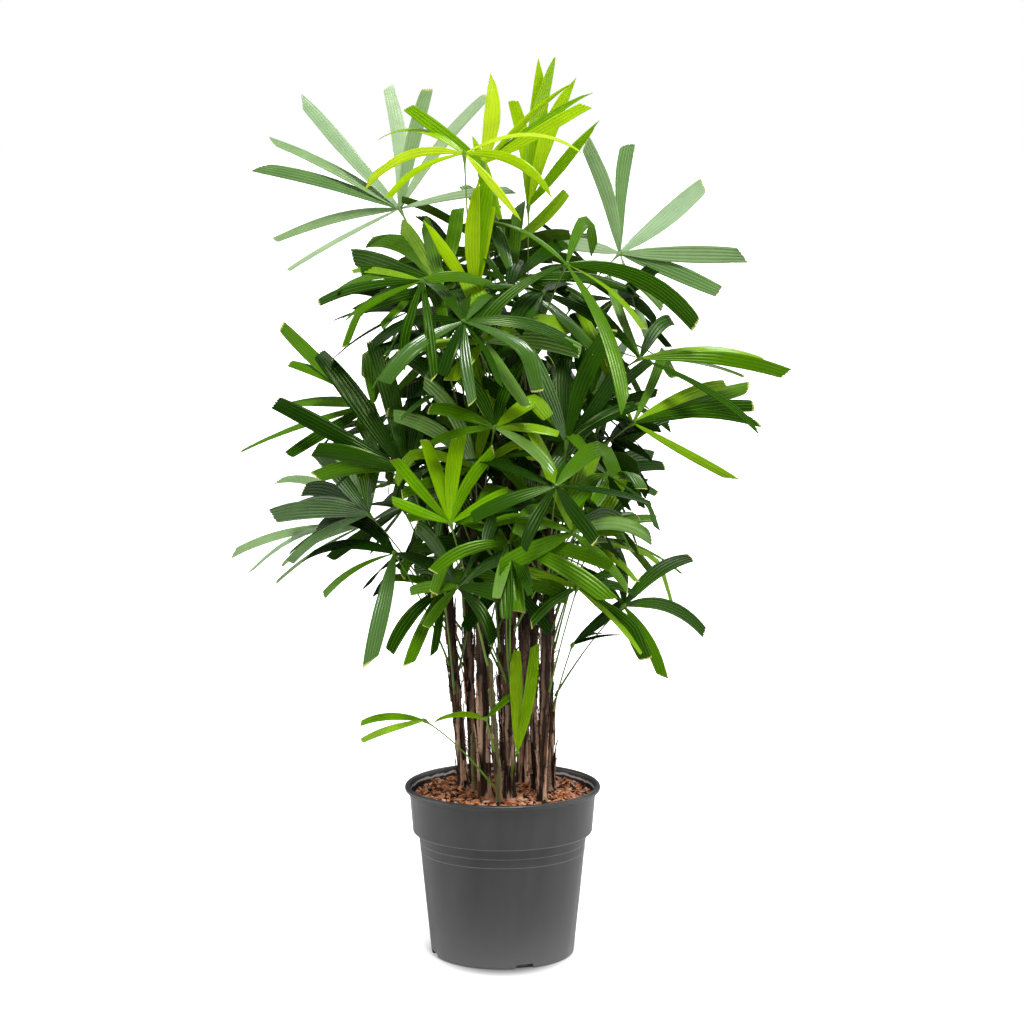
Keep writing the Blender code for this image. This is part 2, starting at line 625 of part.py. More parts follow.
def build_fronds(home, scraps, canes, barks, space, looks):
    """All fronds: every stalk first, then their leaflets."""
    stalks = {}
    for frond in FRONDS:
        path = place_stalk(frond, canes, barks, space)
        if path is None or not space.free(frond.name, *knuckle(Vector(frond.hub), CLEAR)):
            print("no way up for", frond.name)
            continue
        space.add(frond.name, *tube(path, STALK_RADIUS, STALK_SIDES))
        space.add(frond.name, *knuckle(Vector(frond.hub), CLEAR))
        stalks[frond.name] = path
    for frond in FRONDS:
        if frond.name not in stalks:
            continue
        normal = face_normal(frond)
        leaves = []
        for leaf in leaf_plan(frond):
            solid = place_leaf(frond, normal, leaf, space)
            if solid is not None:
                leaves.append(solid)
                space.add(frond.name, *solid)
        print(frond.name, "has", len(leaves), "of", len(frond.headings), "leaflets")
        join_frond(frond, stalks[frond.name], leaves, home, scraps, looks[frond.tone])


def clear_scene():
    """Remove what the start-up scene holds."""
    for old in list(bpy.data.objects):
        bpy.data.objects.remove(old)


def new_collection(name, hidden):
    """A collection in the scene, hidden from renders or not."""
    made = bpy.data.collections.new(name)
    bpy.context.scene.collection.children.link(made)
    made.hide_render = hidden
    return made


def main():
    """Build the whole plant."""
    clear_scene()
    home = new_collection("lady_palm", False)
    cutters = new_collection("cutters", True)
    scraps = new_collection("scraps", True)
    build_pot(home, cutters)
    for cutter in cutters.objects:
        cutter.hide_render = True
        cutter.display_type = "WIRE"
    build_soil(home)
    space = Space()
    sheath = material("cane_sheath", (0.10, 0.055, 0.03), 0.9)
    barks = {}
    for cane in CANES:
        mesh = build_cane(cane, home, sheath).data
        surface = ([v.co.copy() for v in mesh.vertices], [tuple(p.vertices) for p in mesh.polygons])
        barks[cane.name] = BVHTree.FromPolygons(*surface)
        space.add(cane.name, *surface)
    looks = {tone: material(f"leaf_{tone}", colour, 0.4) for tone, colour in TONES.items()}
    build_fronds(home, scraps, {cane.name: cane for cane in CANES}, barks, space, looks)


main()
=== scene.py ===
# %% [markdown]
# # A lady palm in its nursery pot
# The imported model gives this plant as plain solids: a pot, the bark chips in it, twelve canes
# and one closed solid for each fan of leaves. This lesson dresses them. The solids carry the
# plant's true size and places, so every finer piece is grown from the same named values.

import json
import math
import random
from collections import namedtuple

import bmesh
import bpy
import numpy as np
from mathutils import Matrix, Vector, noise
from mathutils.bvhtree import BVHTree

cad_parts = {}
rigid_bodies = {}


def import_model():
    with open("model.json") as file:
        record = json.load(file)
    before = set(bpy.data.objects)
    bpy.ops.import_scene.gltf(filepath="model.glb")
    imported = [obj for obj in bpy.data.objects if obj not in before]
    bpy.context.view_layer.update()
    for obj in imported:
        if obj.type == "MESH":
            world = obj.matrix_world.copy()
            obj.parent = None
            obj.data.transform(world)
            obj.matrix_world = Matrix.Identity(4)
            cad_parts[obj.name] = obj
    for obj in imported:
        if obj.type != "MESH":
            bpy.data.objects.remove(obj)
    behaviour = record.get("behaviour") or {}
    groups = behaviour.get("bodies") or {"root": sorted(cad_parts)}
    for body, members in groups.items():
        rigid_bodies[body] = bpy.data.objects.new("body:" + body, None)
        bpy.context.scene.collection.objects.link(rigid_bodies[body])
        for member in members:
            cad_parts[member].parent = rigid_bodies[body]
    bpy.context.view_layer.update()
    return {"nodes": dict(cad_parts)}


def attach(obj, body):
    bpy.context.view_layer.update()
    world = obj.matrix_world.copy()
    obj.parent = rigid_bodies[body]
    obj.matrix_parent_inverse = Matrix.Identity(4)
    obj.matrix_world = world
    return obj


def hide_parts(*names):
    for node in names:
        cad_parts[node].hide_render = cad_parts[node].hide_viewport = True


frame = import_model()
solids = frame["nodes"]

# %% [markdown]
# ## The camera
# The photograph was taken from about four metres away with a long lens, slightly from above:
# the pot's rim shows as a flat ellipse. A short lens would open that ellipse and make the pot
# look larger than the crown, so the distance was settled first and the lens from it.

# %% Camera
CAMERA_PLACE = (0.013, -4.4, 1.2656)
CAMERA_PITCH = 8.4
CAMERA_LENS = 114.7
SENSOR = 36.0


def placed(data):
    """A new object in the scene for a mesh, lamp or camera, under the same name."""
    made = bpy.data.objects.new(data.name, data)
    bpy.context.scene.collection.objects.link(made)
    return made


camera_data = bpy.data.cameras.new("studio_camera")
camera_data.lens = CAMERA_LENS
camera_data.sensor_width = SENSOR
camera = placed(camera_data)
camera.location = CAMERA_PLACE
camera.rotation_euler = (math.radians(90 - CAMERA_PITCH), 0, 0)
bpy.context.scene.camera = camera
print("camera", CAMERA_LENS, "mm lens at", CAMERA_PLACE)

# %% [markdown]
# ## Nodes in few words
# Every finish and the room itself are built of shader nodes. Four short helpers make a node,
# feed its inputs with numbers or with other nodes, do sums, and map one range to another.

# %% Node helpers


def feed(made, inputs):
    """Give each input of a node its value, or link the socket that feeds it."""
    for key, value in inputs.items():
        if isinstance(value, bpy.types.NodeSocket):
            made.id_data.links.new(value, made.inputs[key])
        else:
            made.inputs[key].default_value = value


def node(tree, kind, inputs=(), **settings):
    """A new shader node with its settings and its inputs."""
    made = tree.nodes.new("ShaderNode" + kind)
    for name, value in settings.items():
        setattr(made, name, value)
    feed(made, dict(inputs))
    return made


def sums(tree, operation, first, second=0.0):
    """The result of a math node; each input is a socket or a number."""
    return node(tree, "Math", {0: first, 1: second}, operation=operation).outputs[0]


def mapped(tree, value, start, end, low=0.0, high=1.0, **settings):
    """A value brought from one range to another and held at its ends."""
    inputs = {"Value": value, "From Min": start, "From Max": end, "To Min": low, "To Max": high}
    return node(tree, "MapRange", inputs, **settings).outputs["Result"]


print("helpers to make, feed, sum and map are ready")

# %% [markdown]
# ## The studio
# A catalogue photograph of a plant is lit by a bright room: white all round, and one very
# broad light high in front. A lamp near the plant would leave a pool of light on the floor, so
# the broad light is a sun with a disc wide enough for soft edges, which falls evenly on floor and
# plant. A weaker lamp from behind lets the top leaves glow. The room is drawn white, but it lights
# the plant from above and from both sides and little from the front: the pot then darkens towards
# its middle, glossy leaves keep a deep colour, and the inside of the crown stays dark.

# %% Room light and lamps
ROOM_FRONT = 0.04
ROOM_ABOVE = 0.45
ROOM_SIDES = 3.3
SIDES_FROM = 0.72
BACKDROP_STRENGTH = 1.0
WHITE = (1, 1, 1, 1)
SUN_STRENGTH = 3.8
SUN_DISC = 16
SUN_TURN = (23, 0, 14)
CROWN_LAMP_PLACE = (0.9, 2.4, 3.2)
CROWN_LAMP_SIZE = 1.6
CROWN_LAMP_POWER = 45.0
LAMP_AIM = Vector((0.0, 0.0, 0.75))

world = bpy.data.worlds.new("white_room")
world.use_nodes = True
tree = world.node_tree
way = node(tree, "SeparateXYZ", {0: node(tree, "TexCoord").outputs["Generated"]}).outputs
above = mapped(tree, way["Z"], 0, 1, ROOM_FRONT, ROOM_ABOVE)
aside = mapped(tree, sums(tree, "ABSOLUTE", way["X"]), SIDES_FROM, 1, 0, ROOM_SIDES)
room = tree.nodes["Background"]
feed(room, {"Color": WHITE, "Strength": sums(tree, "ADD", above, aside)})
backdrop = node(tree, "Background", {"Color": WHITE, "Strength": BACKDROP_STRENGTH})
by_camera = node(tree, "LightPath").outputs["Is Camera Ray"]
either = node(tree, "MixShader", {0: by_camera, 1: room.outputs[0], 2: backdrop.outputs[0]})
feed(tree.nodes["World Output"], {"Surface": either.outputs[0]})
bpy.context.scene.world = world
bpy.context.scene.view_settings.view_transform = "Standard"

sun_data = bpy.data.lights.new("broad_light", "SUN")
sun_data.energy = SUN_STRENGTH
sun_data.angle = math.radians(SUN_DISC)
placed(sun_data).rotation_euler = [math.radians(a) for a in SUN_TURN]
lamp_data = bpy.data.lights.new("crown_lamp", "AREA")
lamp_data.size = CROWN_LAMP_SIZE
lamp_data.energy = CROWN_LAMP_POWER
lamp = placed(lamp_data)
lamp.location = CROWN_LAMP_PLACE
lamp.rotation_euler = (LAMP_AIM - Vector(CROWN_LAMP_PLACE)).to_track_quat("-Z", "Y").to_euler()
print("a broad light of", SUN_DISC, "degrees and a crown lamp")

# %% [markdown]
# ## Turning points and faces into pieces
# Most of this plant is many small closed shells: leaflets, chips, fibres. One object for each
# would be slow to draw and to export, so shells of one kind are gathered in a heap and become
# one mesh. Each face remembers which finish of the heap it wears.

# %% Heaps of shells
SHARP_ANGLE = 38


class Heap:
    """Shells of one kind, gathered to become one mesh."""

    def __init__(self, name):
        self.name = name
        self.points = []
        self.faces = []
        self.finishes = []
        self.count = 0

    def add(self, points, faces, finishes=0):
        """Add one shell; finishes is one number, or one for each face."""
        self.points.append(np.asarray(points, dtype=float))
        self.faces.extend(tuple(i + self.count for i in face) for face in faces)
        self.finishes.extend([finishes] * len(faces) if isinstance(finishes, int) else finishes)
        self.count += len(points)

    def piece(self, looks, slot, replaced=()):
        """Make the mesh, give it its finishes and let it stand for the solids it covers."""
        mesh = bpy.data.meshes.new(self.name)
        mesh.from_pydata(np.concatenate(self.points).tolist(), [], self.faces)
        for look in looks:
            mesh.materials.append(look)
        mesh.polygons.foreach_set("material_index", self.finishes)
        smooth(mesh, SHARP_ANGLE)
        finish_piece(placed(mesh), replaced)


def smooth(mesh, sharp_from):
    """Shade a mesh smooth, with edges sharp from an angle in degrees."""
    mesh.polygons.foreach_set("use_smooth", [True] * len(mesh.polygons))
    mesh.set_sharp_from_angle(angle=math.radians(sharp_from))


def finish_piece(made, replaced=()):
    """Fix a piece to the plant's one body, and hide the solids it stands for."""
    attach(made, "root")
    if replaced:
        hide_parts(*replaced)
    triangles = sum(len(face.vertices) - 2 for face in made.data.polygons)
    print(made.name, "has", triangles, "triangles")


def shell(top, bottom):
    """Points and faces of a closed thin shell from two grids of points, rows by columns."""
    rows, columns = top.shape[:2]
    points = np.concatenate([top.reshape(-1, 3), bottom.reshape(-1, 3)])
    under = rows * columns
    faces = []
    for r in range(rows - 1):
        for c in range(columns - 1):
            a = r * columns + c
            b = a + columns
            faces.append((a, a + 1, b + 1, b))
            faces.append((under + a, under + b, under + b + 1, under + a + 1))
    for r in range(rows - 1):
        a = r * columns
        b = a + columns
        faces.append((a, b, under + b, under + a))
        a += columns - 1
        b += columns - 1
        faces.append((a, under + a, under + b, b))
    last = (rows - 1) * columns
    for c in range(columns - 1):
        faces.append((c, under + c, under + c + 1, c + 1))
        faces.append((last + c, last + c + 1, under + last + c + 1, under + last + c))
    return points, faces


def loft(rings):
    """Points and faces of a closed tube through rings of equal size."""
    sides = len(rings[0])
    points = [p for ring_points in rings for p in ring_points]
    faces = [tuple(reversed(range(sides)))]
    for low in range(0, len(points) - sides, sides):
        for i in range(sides):
            j = (i + 1) % sides
            faces.append((low + i, low + j, low + sides + j, low + sides + i))
    faces.append(tuple(range(len(points) - sides, len(points))))
    return points, faces


print("heaps, shells and tubes are ready")

# %% [markdown]
# ## Patterns that several finishes share
# Moulded plastic, bark and leaf skin all vary a little from place to place. That variation is
# built once as two node groups: one shifts a colour in soft blotches, the other gives the height
# of a fine grain. A group only puts out colours and heights; the shader itself stays in each
# material, because the export reads it there.

# %% Shader node groups
BLOTCHES = (0.35, 0.7)
BLOTCH_DETAIL = 3.0
GRAIN_DETAIL = 4.0


def new_group(name, inputs, outputs):
    """An empty shader group with named sockets."""
    group = bpy.data.node_groups.new(name, "ShaderNodeTree")
    for label, kind, value in inputs:
        socket = group.interface.new_socket(label, in_out="INPUT", socket_type="NodeSocket" + kind)
        socket.default_value = value
    for label, kind in outputs:
        group.interface.new_socket(label, in_out="OUTPUT", socket_type="NodeSocket" + kind)
    return group, group.nodes.new("NodeGroupInput").outputs, group.nodes.new("NodeGroupOutput")


def coords(tree):
    """The object's own coordinates."""
    return node(tree, "TexCoord").outputs["Object"]


def axes(tree):
    """The object's own coordinates, with one socket for each axis."""
    return node(tree, "SeparateXYZ", {0: coords(tree)}).outputs


def stretched(tree, by):
    """The object's own coordinates, multiplied by a number along each axis."""
    return node(tree, "VectorMath", {0: coords(tree), 1: by}, operation="MULTIPLY").outputs[0]


def noise_at(tree, place, detail, scale=1.0):
    """Noise at a place, from 0 to 1."""
    return node(tree, "TexNoise", {"Vector": place, "Scale": scale, "Detail": detail}).outputs["Fac"]


def blend(tree, share, first, second):
    """Two colours mixed by a share."""
    return node(tree, "Mix", {"Factor": share, 6: first, 7: second}, data_type="RGBA").outputs[2]


def mottle_group():
    """Blotches: a colour that is a little darker here and lighter there."""
    group, given, made = new_group(
        "soft_mottle",
        (("Colour", "Color", (0.5, 0.5, 0.5, 1)), ("Fleck Colour", "Color", (0, 0, 0, 1)),
         ("Repeats", "Vector", (20, 20, 20)), ("Amount", "Float", 0.3)),
        (("Colour", "Color"), ("Mask", "Float")))
    grains = noise_at(group, stretched(group, given["Repeats"]), BLOTCH_DETAIL)
    mask = mapped(group, grains, *BLOTCHES)
    share = sums(group, "MULTIPLY", mask, given["Amount"])
    feed(made, {"Colour": blend(group, share, given["Colour"], given["Fleck Colour"]), "Mask": mask})
    return group


def grain_group():
    """The height of a fine grain, for a bump node."""
    group, given, made = new_group("fine_grain", (("Repeats", "Vector", (400, 400, 400)),),
                                   (("Height", "Float"),))
    feed(made, {"Height": noise_at(group, stretched(group, given["Repeats"]), GRAIN_DETAIL)})
    return group


SOFT_MOTTLE = mottle_group()
FINE_GRAIN = grain_group()
print("groups:", SOFT_MOTTLE.name, FINE_GRAIN.name)

# %% [markdown]
# ## A finish
# Every finish here is a Principled shader whose colour goes through the mottle group and whose
# normal comes from the grain. What differs is the scale: plastic has a fine even grain, bark
# has long fibres along the cane, leaf skin is almost smooth. Painted bounce light on the pot's
# foot, painted highlights on its edges, the canes' worn foot and a chalk line have a place of
# their own, and are painted over a finish through a mask.

# %% One recipe for finishes
GRAIN_HEIGHT = 0.001


def finish(name, colour, fleck, amount, repeats, roughness, grain, bump, specular=0.5):
    """A material: mottled colour, roughness that follows the blotches, and a grain in the normal."""
    made = bpy.data.materials.new(name)
    made.use_nodes = True
    tree = made.node_tree
    mottle = node(tree, "Group", {"Colour": (*colour, 1), "Fleck Colour": (*fleck, 1),
                                  "Repeats": repeats, "Amount": amount}, node_tree=SOFT_MOTTLE)
    height = node(tree, "Group", {"Repeats": grain}, node_tree=FINE_GRAIN).outputs["Height"]
    relief = node(tree, "Bump", {"Strength": bump, "Distance": GRAIN_HEIGHT, "Height": height})
    feed(shader_of(made), {"Base Color": mottle.outputs["Colour"],
                           "Roughness": mapped(tree, mottle.outputs["Mask"], 0, 1, *roughness),
                           "Normal": relief.outputs["Normal"], "Specular IOR Level": specular})
    return made


def shader_of(look):
    """The Principled shader of a material."""
    return look.node_tree.nodes["Principled BSDF"]


def paint(look, mask, colour):
    """Bring a colour in over a material's own, where a mask says."""
    plain = shader_of(look).inputs["Base Color"].links[0].from_socket
    feed(shader_of(look), {"Base Color": blend(look.node_tree, mask, plain, (*colour, 1))})


print("the recipe takes a colour, a fleck colour, scales and roughness")

# %% [markdown]
# ## The floor
# A plant in a catalogue stands on white paper that is lit from behind as well, so that it burns
# out to white and keeps only the faint shadow at the pot's foot. The disc is nearly white and
# without gloss. For the camera a little light of its own is added to it, and for all other rays
# it is greyer, so that it doesn't flood the crown from below. Paper this bright would swallow the
# shade where the pot meets it, so a short oval shade round the foot is laid back in.

# %% Floor
FLOOR_RADIUS = 30.0
FLOOR_SIDES = 96
PAPER_GLOW = 0.62
PAPER_BOUNCE = 0.62
FOOT_SHADE = 0.20
SHADE_REACH = (0.128, 0.175)
SHADE_FROM = 0.50

work = bmesh.new()
bmesh.ops.create_circle(work, cap_ends=True, radius=FLOOR_RADIUS, segments=FLOOR_SIDES)
floor_mesh = bpy.data.meshes.new("studio_floor")
work.to_mesh(floor_mesh)
work.free()
paper = finish("white_paper", (0.86, 0.86, 0.86), (0.82, 0.82, 0.82), 0.3,
               (2, 2, 2), (0.9, 1.0), (60, 60, 60), 0.02, specular=0.0)
tree = paper.node_tree
glow = node(tree, "Emission", {"Strength": PAPER_GLOW})
lit = node(tree, "AddShader", {0: shader_of(paper).outputs[0], 1: glow.outputs[0]})
oval = stretched(tree, (1 / SHADE_REACH[0], 1 / SHADE_REACH[1], 0))
away = node(tree, "VectorMath", {0: oval}, operation="LENGTH").outputs["Value"]
clear = mapped(tree, away, SHADE_FROM, 1, interpolation_type="SMOOTHSTEP")
shade = node(tree, "Emission", {"Strength": FOOT_SHADE})
seen = node(tree, "MixShader", {0: clear, 1: shade.outputs[0], 2: lit.outputs[0]})
bounce = node(tree, "BsdfDiffuse", {"Color": (PAPER_BOUNCE, PAPER_BOUNCE, PAPER_BOUNCE, 1)})
by_camera = node(tree, "LightPath").outputs["Is Camera Ray"]
either = node(tree, "MixShader", {0: by_camera, 1: bounce.outputs[0], 2: seen.outputs[0]})
feed(tree.nodes["Material Output"], {"Surface": either.outputs[0]})
floor_mesh.materials.append(paper)
placed(floor_mesh)
print("floor", 2 * FLOOR_RADIUS, "m across")

# %% [markdown]
# ## The pot
# A nursery pot is injection moulded: a thin tapered wall, a wider collar that lets a carrier
# grip it, a rolled rim, two fine steps where the mould parts, and drain notches round the
# bottom edge. A turned profile gives all of it but the notches, which are cut afterwards with
# wedges, as in the solid. The solid has 36 sides; here there are enough to look round.

# %% Pot sizes
POT_HEIGHT = 0.237
RIM_RADIUS = 0.135
RIM_LIP = 0.008
RIM_STEPS = 14
RIM_TUCK = 0.0012
TUCK_BELOW = 0.0014
TUCK_STEPS = 3
COLLAR_TOP_RADIUS = 0.1285
COLLAR_FOOT_RADIUS = 0.124
COLLAR_FOOT = 0.172
COLLAR_EDGE = 0.0012
COLLAR_ROUND = 0.002
SHOULDER_RADIUS = 0.1165
BASE_RADIUS = 0.099
BASE_ROUND = 0.004
WALL = 0.0022
POT_FLOOR = 0.009
STEP_HEIGHTS = (0.158, 0.1455)
STEP_DEPTH = 0.0007
POT_SIDES = 192
POINTS_MERGE_AT = 0.00005
POT_SHARP_ANGLE = 30
CORNER_STEPS = 5
NOTCHES = 4
NOTCH_TURN = 18
NOTCH_DEPTH = 0.009
NOTCH_LEVELS = ((0.029, -0.002), (0.023, 0.007))
BOX_FACES = ((0, 2, 3, 1), (4, 5, 7, 6), (0, 1, 5, 4), (2, 6, 7, 3), (0, 4, 6, 2), (1, 3, 7, 5))


def outer_radius(height):
    """Radius of the pot's plain tapered body at a height."""
    return BASE_RADIUS + (SHOULDER_RADIUS - BASE_RADIUS) * height / COLLAR_FOOT


def rounded(x, z, radius, start, end, steps=CORNER_STEPS):
    """Points of a rounded corner in a (radius, height) profile, angles in degrees."""
    turns = [math.radians(start + (end - start) * step / steps) for step in range(steps + 1)]
    return [(x + radius * math.cos(turn), z + radius * math.sin(turn)) for turn in turns]


def pot_profile():
    """The pot's section: up the inside, over the rolled rim and down the outside."""
    lip = RIM_LIP / 2
    profile = [(0.0, POT_FLOOR), (outer_radius(POT_FLOOR) - WALL, POT_FLOOR),
               (SHOULDER_RADIUS - WALL, COLLAR_FOOT),
               (COLLAR_FOOT_RADIUS - WALL, COLLAR_FOOT + WALL),
               (RIM_RADIUS - RIM_LIP, POT_HEIGHT - 2 * RIM_LIP)]
    profile += rounded(RIM_RADIUS - lip, POT_HEIGHT - lip, lip, 180, -70, RIM_STEPS)
    profile += rounded(COLLAR_TOP_RADIUS + RIM_TUCK, POT_HEIGHT - RIM_LIP - TUCK_BELOW, RIM_TUCK,
                       90, 180, TUCK_STEPS)
    profile += rounded(COLLAR_FOOT_RADIUS - COLLAR_ROUND, COLLAR_FOOT + COLLAR_ROUND, COLLAR_ROUND,
                       4, -84)
    profile.append((SHOULDER_RADIUS + COLLAR_EDGE, COLLAR_FOOT))
    profile.append((SHOULDER_RADIUS, COLLAR_FOOT - COLLAR_EDGE))
    for height in STEP_HEIGHTS:
        for inward, down in ((0, -1), (0, 0), (1, 1), (1, 3)):
            profile.append((outer_radius(height) - inward * STEP_DEPTH, height - down * STEP_DEPTH))
    profile += rounded(BASE_RADIUS - BASE_ROUND, BASE_ROUND, BASE_ROUND, 0, -90)
    profile.append((0.0, 0.0))
    return profile


print("the pot's section has", len(pot_profile()), "points")

# %% Turn the pot and cut its notches


def faces_outward(mesh):
    """Turn all of a closed mesh's faces outward."""
    work = bmesh.new()
    work.from_mesh(mesh)
    bmesh.ops.recalc_face_normals(work, faces=work.faces)
    work.to_mesh(mesh)
    work.free()


def bake_modifiers(made):
    """Replace an object's mesh by what its modifiers make of it."""
    graph = bpy.context.evaluated_depsgraph_get()
    mesh = bpy.data.meshes.new_from_object(made.evaluated_get(graph))
    made.modifiers.clear()
    made.data = mesh
    faces_outward(mesh)


def turned(name, profile, steps):
    """Turn a profile about the Z axis into a closed mesh object."""
    mesh = bpy.data.meshes.new(name)
    points = [(radius, 0.0, height) for radius, height in profile]
    mesh.from_pydata(points, [(i, i + 1) for i in range(len(points) - 1)], [])
    made = placed(mesh)
    screw = made.modifiers.new("turn", "SCREW")
    screw.steps = steps
    screw.render_steps = steps
    screw.use_merge_vertices = True
    screw.merge_threshold = POINTS_MERGE_AT
    bake_modifiers(made)
    return made


def notch_wedge(number, home):
    """One wedge that cuts a drain notch out of the bottom edge."""
    turn = math.radians(NOTCH_TURN + number * 360 / NOTCHES)
    outward = Vector((math.sin(turn), -math.cos(turn), 0.0))
    along = Vector((math.cos(turn), math.sin(turn), 0.0))
    points = []
    for distance in (BASE_RADIUS - NOTCH_DEPTH, BASE_RADIUS + NOTCH_DEPTH):
        for width, height in NOTCH_LEVELS:
            for side in (-1, 1):
                points.append(outward * distance + along * (width / 2) * side + Vector((0, 0, height)))
    mesh = bpy.data.meshes.new(f"notch_wedge_{number}")
    mesh.from_pydata([tuple(p) for p in points], [], BOX_FACES)
    faces_outward(mesh)
    home.objects.link(bpy.data.objects.new(mesh.name, mesh))


pot = turned("nursery_pot", pot_profile(), POT_SIDES)
wedges = bpy.data.collections.new("notch_wedges")
bpy.context.scene.collection.children.link(wedges)
for number in range(NOTCHES):
    notch_wedge(number, wedges)
cut = pot.modifiers.new("notches", "BOOLEAN")
cut.operation = "DIFFERENCE"
cut.operand_type = "COLLECTION"
cut.collection = wedges
bake_modifiers(pot)
for wedge in list(wedges.objects):
    bpy.data.objects.remove(wedge)
bpy.data.collections.remove(wedges)
smooth(pot.data, POT_SHARP_ANGLE)
print("the pot stands", POT_HEIGHT, "m high and", 2 * RIM_RADIUS, "m across its rim")

# %% [markdown]
# ## Pot plastic
# Grey polypropylene out of a matt mould: satin, with a fine grain and faint blotches where the
# melt flowed. Towards the foot the grey is painted lighter, a painted bounce of light from the
# white floor; the edges that stand out carry painted highlights; and watering leaves a chalky,
# wavy line on the inside just above the chips. Each has a place, so each is a mask on the pot
# alone: two from height, the last from height and radius with noise.

# %% Pot finish with painted floor bounce, painted edge highlights and a chalk line
# Painted bounce light: the plastic is painted lighter towards the foot, as light from the white floor would
# make it.
PAINTED_BOUNCE_TOP = 0.15
PAINTED_BOUNCE_CURVE = 2.6
PAINTED_BOUNCE_GREY = (0.095, 0.095, 0.095)
# Painted highlights: thin lighter lines where the collar's foot and the two mould steps catch the light.
HIGHLIGHT_HEIGHTS = (COLLAR_FOOT + COLLAR_ROUND / 2, *STEP_HEIGHTS)
HIGHLIGHT_HALF = 0.0011
HIGHLIGHT_GREY = (0.10, 0.10, 0.10)
CHALK_HEIGHT = 0.2285
CHALK_HALF = 0.0022
CHALK_WAVE = 0.009
CHALK_REPEATS = 75.0
CHALK_DETAIL = 6.0
CHALK_REACH = RIM_RADIUS - RIM_LIP + 0.0008
CHALK_GREY = (0.80, 0.81, 0.82)


def near(tree, height, line, half):
    """A mask that is 1 on a line at a height and gone half its width away."""
    away = sums(tree, "ABSOLUTE", sums(tree, "SUBTRACT", height, line))
    return mapped(tree, away, half, half / 3)


plastic = finish("grey_plastic", (0.022, 0.022, 0.022), (0.038, 0.038, 0.038), 0.8,
                 (34, 34, 5), (0.34, 0.50), (900, 900, 900), 0.18)
tree = plastic.node_tree
place = axes(tree)
# painted bounce light: a lighter grey that grows towards the foot
paint(plastic, sums(tree, "POWER", mapped(tree, place["Z"], PAINTED_BOUNCE_TOP, 0), PAINTED_BOUNCE_CURVE), PAINTED_BOUNCE_GREY)
# painted highlights along the collar's foot and the two steps
for height in HIGHLIGHT_HEIGHTS:
    paint(plastic, near(tree, place["Z"], height, HIGHLIGHT_HALF), HIGHLIGHT_GREY)
squares = [sums(tree, "MULTIPLY", place[axis], place[axis]) for axis in "XY"]
inside = sums(tree, "LESS_THAN", sums(tree, "SQRT", sums(tree, "ADD", *squares)), CHALK_REACH)
wave = sums(tree, "SUBTRACT", noise_at(tree, coords(tree), CHALK_DETAIL, CHALK_REPEATS), 0.5)
waving = sums(tree, "SUBTRACT", place["Z"], sums(tree, "MULTIPLY", wave, CHALK_WAVE))
chalk = sums(tree, "MULTIPLY", inside, near(tree, waving, CHALK_HEIGHT, CHALK_HALF))
paint(plastic, chalk, CHALK_GREY)
pot.data.materials.clear()
pot.data.materials.append(plastic)
finish_piece(pot, ["pot"])

# %% [markdown]
# ## Bark chips
# The pot is filled with a coarse mix of bark and coir chips, red-brown and a few millimetres
# across. The solid plug keeps its place under them and gets a dark crumbly finish. On it lie
# a few thousand separate shards, each a box whose corners were pulled about, dealt out in
# five plain browns, with some white grains among them.

# %% Chips on the fill
SOIL_TOP = 0.2275
SOIL_FLAT_RADIUS = 0.100
SOIL_EDGE = 0.221
CHIP_RADIUS = 0.1245
CHIPS = 3400
CHIP_SIZES = (0.0026, 0.0096)
CHIP_SCALES = (0.6, 0.8, 1.0, 1.0, 1.25)
CHIP_BREADTH = (0.25, 0.65)
CHIP_HEIGHT = (0.14, 0.34)
CHIP_TILT = 0.35
CHIP_LIFT = (-0.0006, 0.0014)
CHIP_SWING = 7
CHIP_FLECK = 0.6
CORNER_PULL = (0.55, 1.1)
CHIP_TINTS = ((0.70, 0.29, 0.14), (0.34, 0.12, 0.050), (0.92, 0.58, 0.40), (0.03, 0.012, 0.007),
              (0.78, 0.30, 0.11), (0.85, 0.83, 0.80))
CHIP_SHARES = (28, 22, 18, 17, 15, 1)


def fill_height(radius):
    """Height of the fill's surface at a radius."""
    if radius <= SOIL_FLAT_RADIUS:
        return SOIL_TOP
    share = (radius - SOIL_FLAT_RADIUS) / (RIM_RADIUS - RIM_LIP - SOIL_FLAT_RADIUS)
    return SOIL_TOP - (SOIL_TOP - SOIL_EDGE) * share


def chip(chance):
    """Corners of one shard, at random on the fill."""
    size = chance.uniform(*CHIP_SIZES) * chance.choice(CHIP_SCALES)
    radius = (CHIP_RADIUS - size / 2) * math.sqrt(chance.random())
    turn = chance.uniform(0, 2 * math.pi)
    half = Vector((size, size * chance.uniform(*CHIP_BREADTH), size * chance.uniform(*CHIP_HEIGHT))) / 2
    tilt = Vector((chance.gauss(0, CHIP_TILT), chance.gauss(0, CHIP_TILT), 1)).normalized()
    swing = Vector((math.cos(turn * CHIP_SWING), math.sin(turn * CHIP_SWING), 0))
    side = tilt.cross(swing).normalized()
    front = side.cross(tilt)
    centre = Vector((radius * math.cos(turn), radius * math.sin(turn),
                     fill_height(radius) + half.z + chance.uniform(*CHIP_LIFT)))
    corners = []
    for x in (-1, 1):
        for z in (-1, 1):
            for y in (-1, 1):
                pull = [chance.uniform(*CORNER_PULL) for _ in range(3)]
                corners.append(centre + front * half.x * x * pull[0] + side * half.y * y * pull[1]
                               + tilt * half.z * z * pull[2])
    return corners


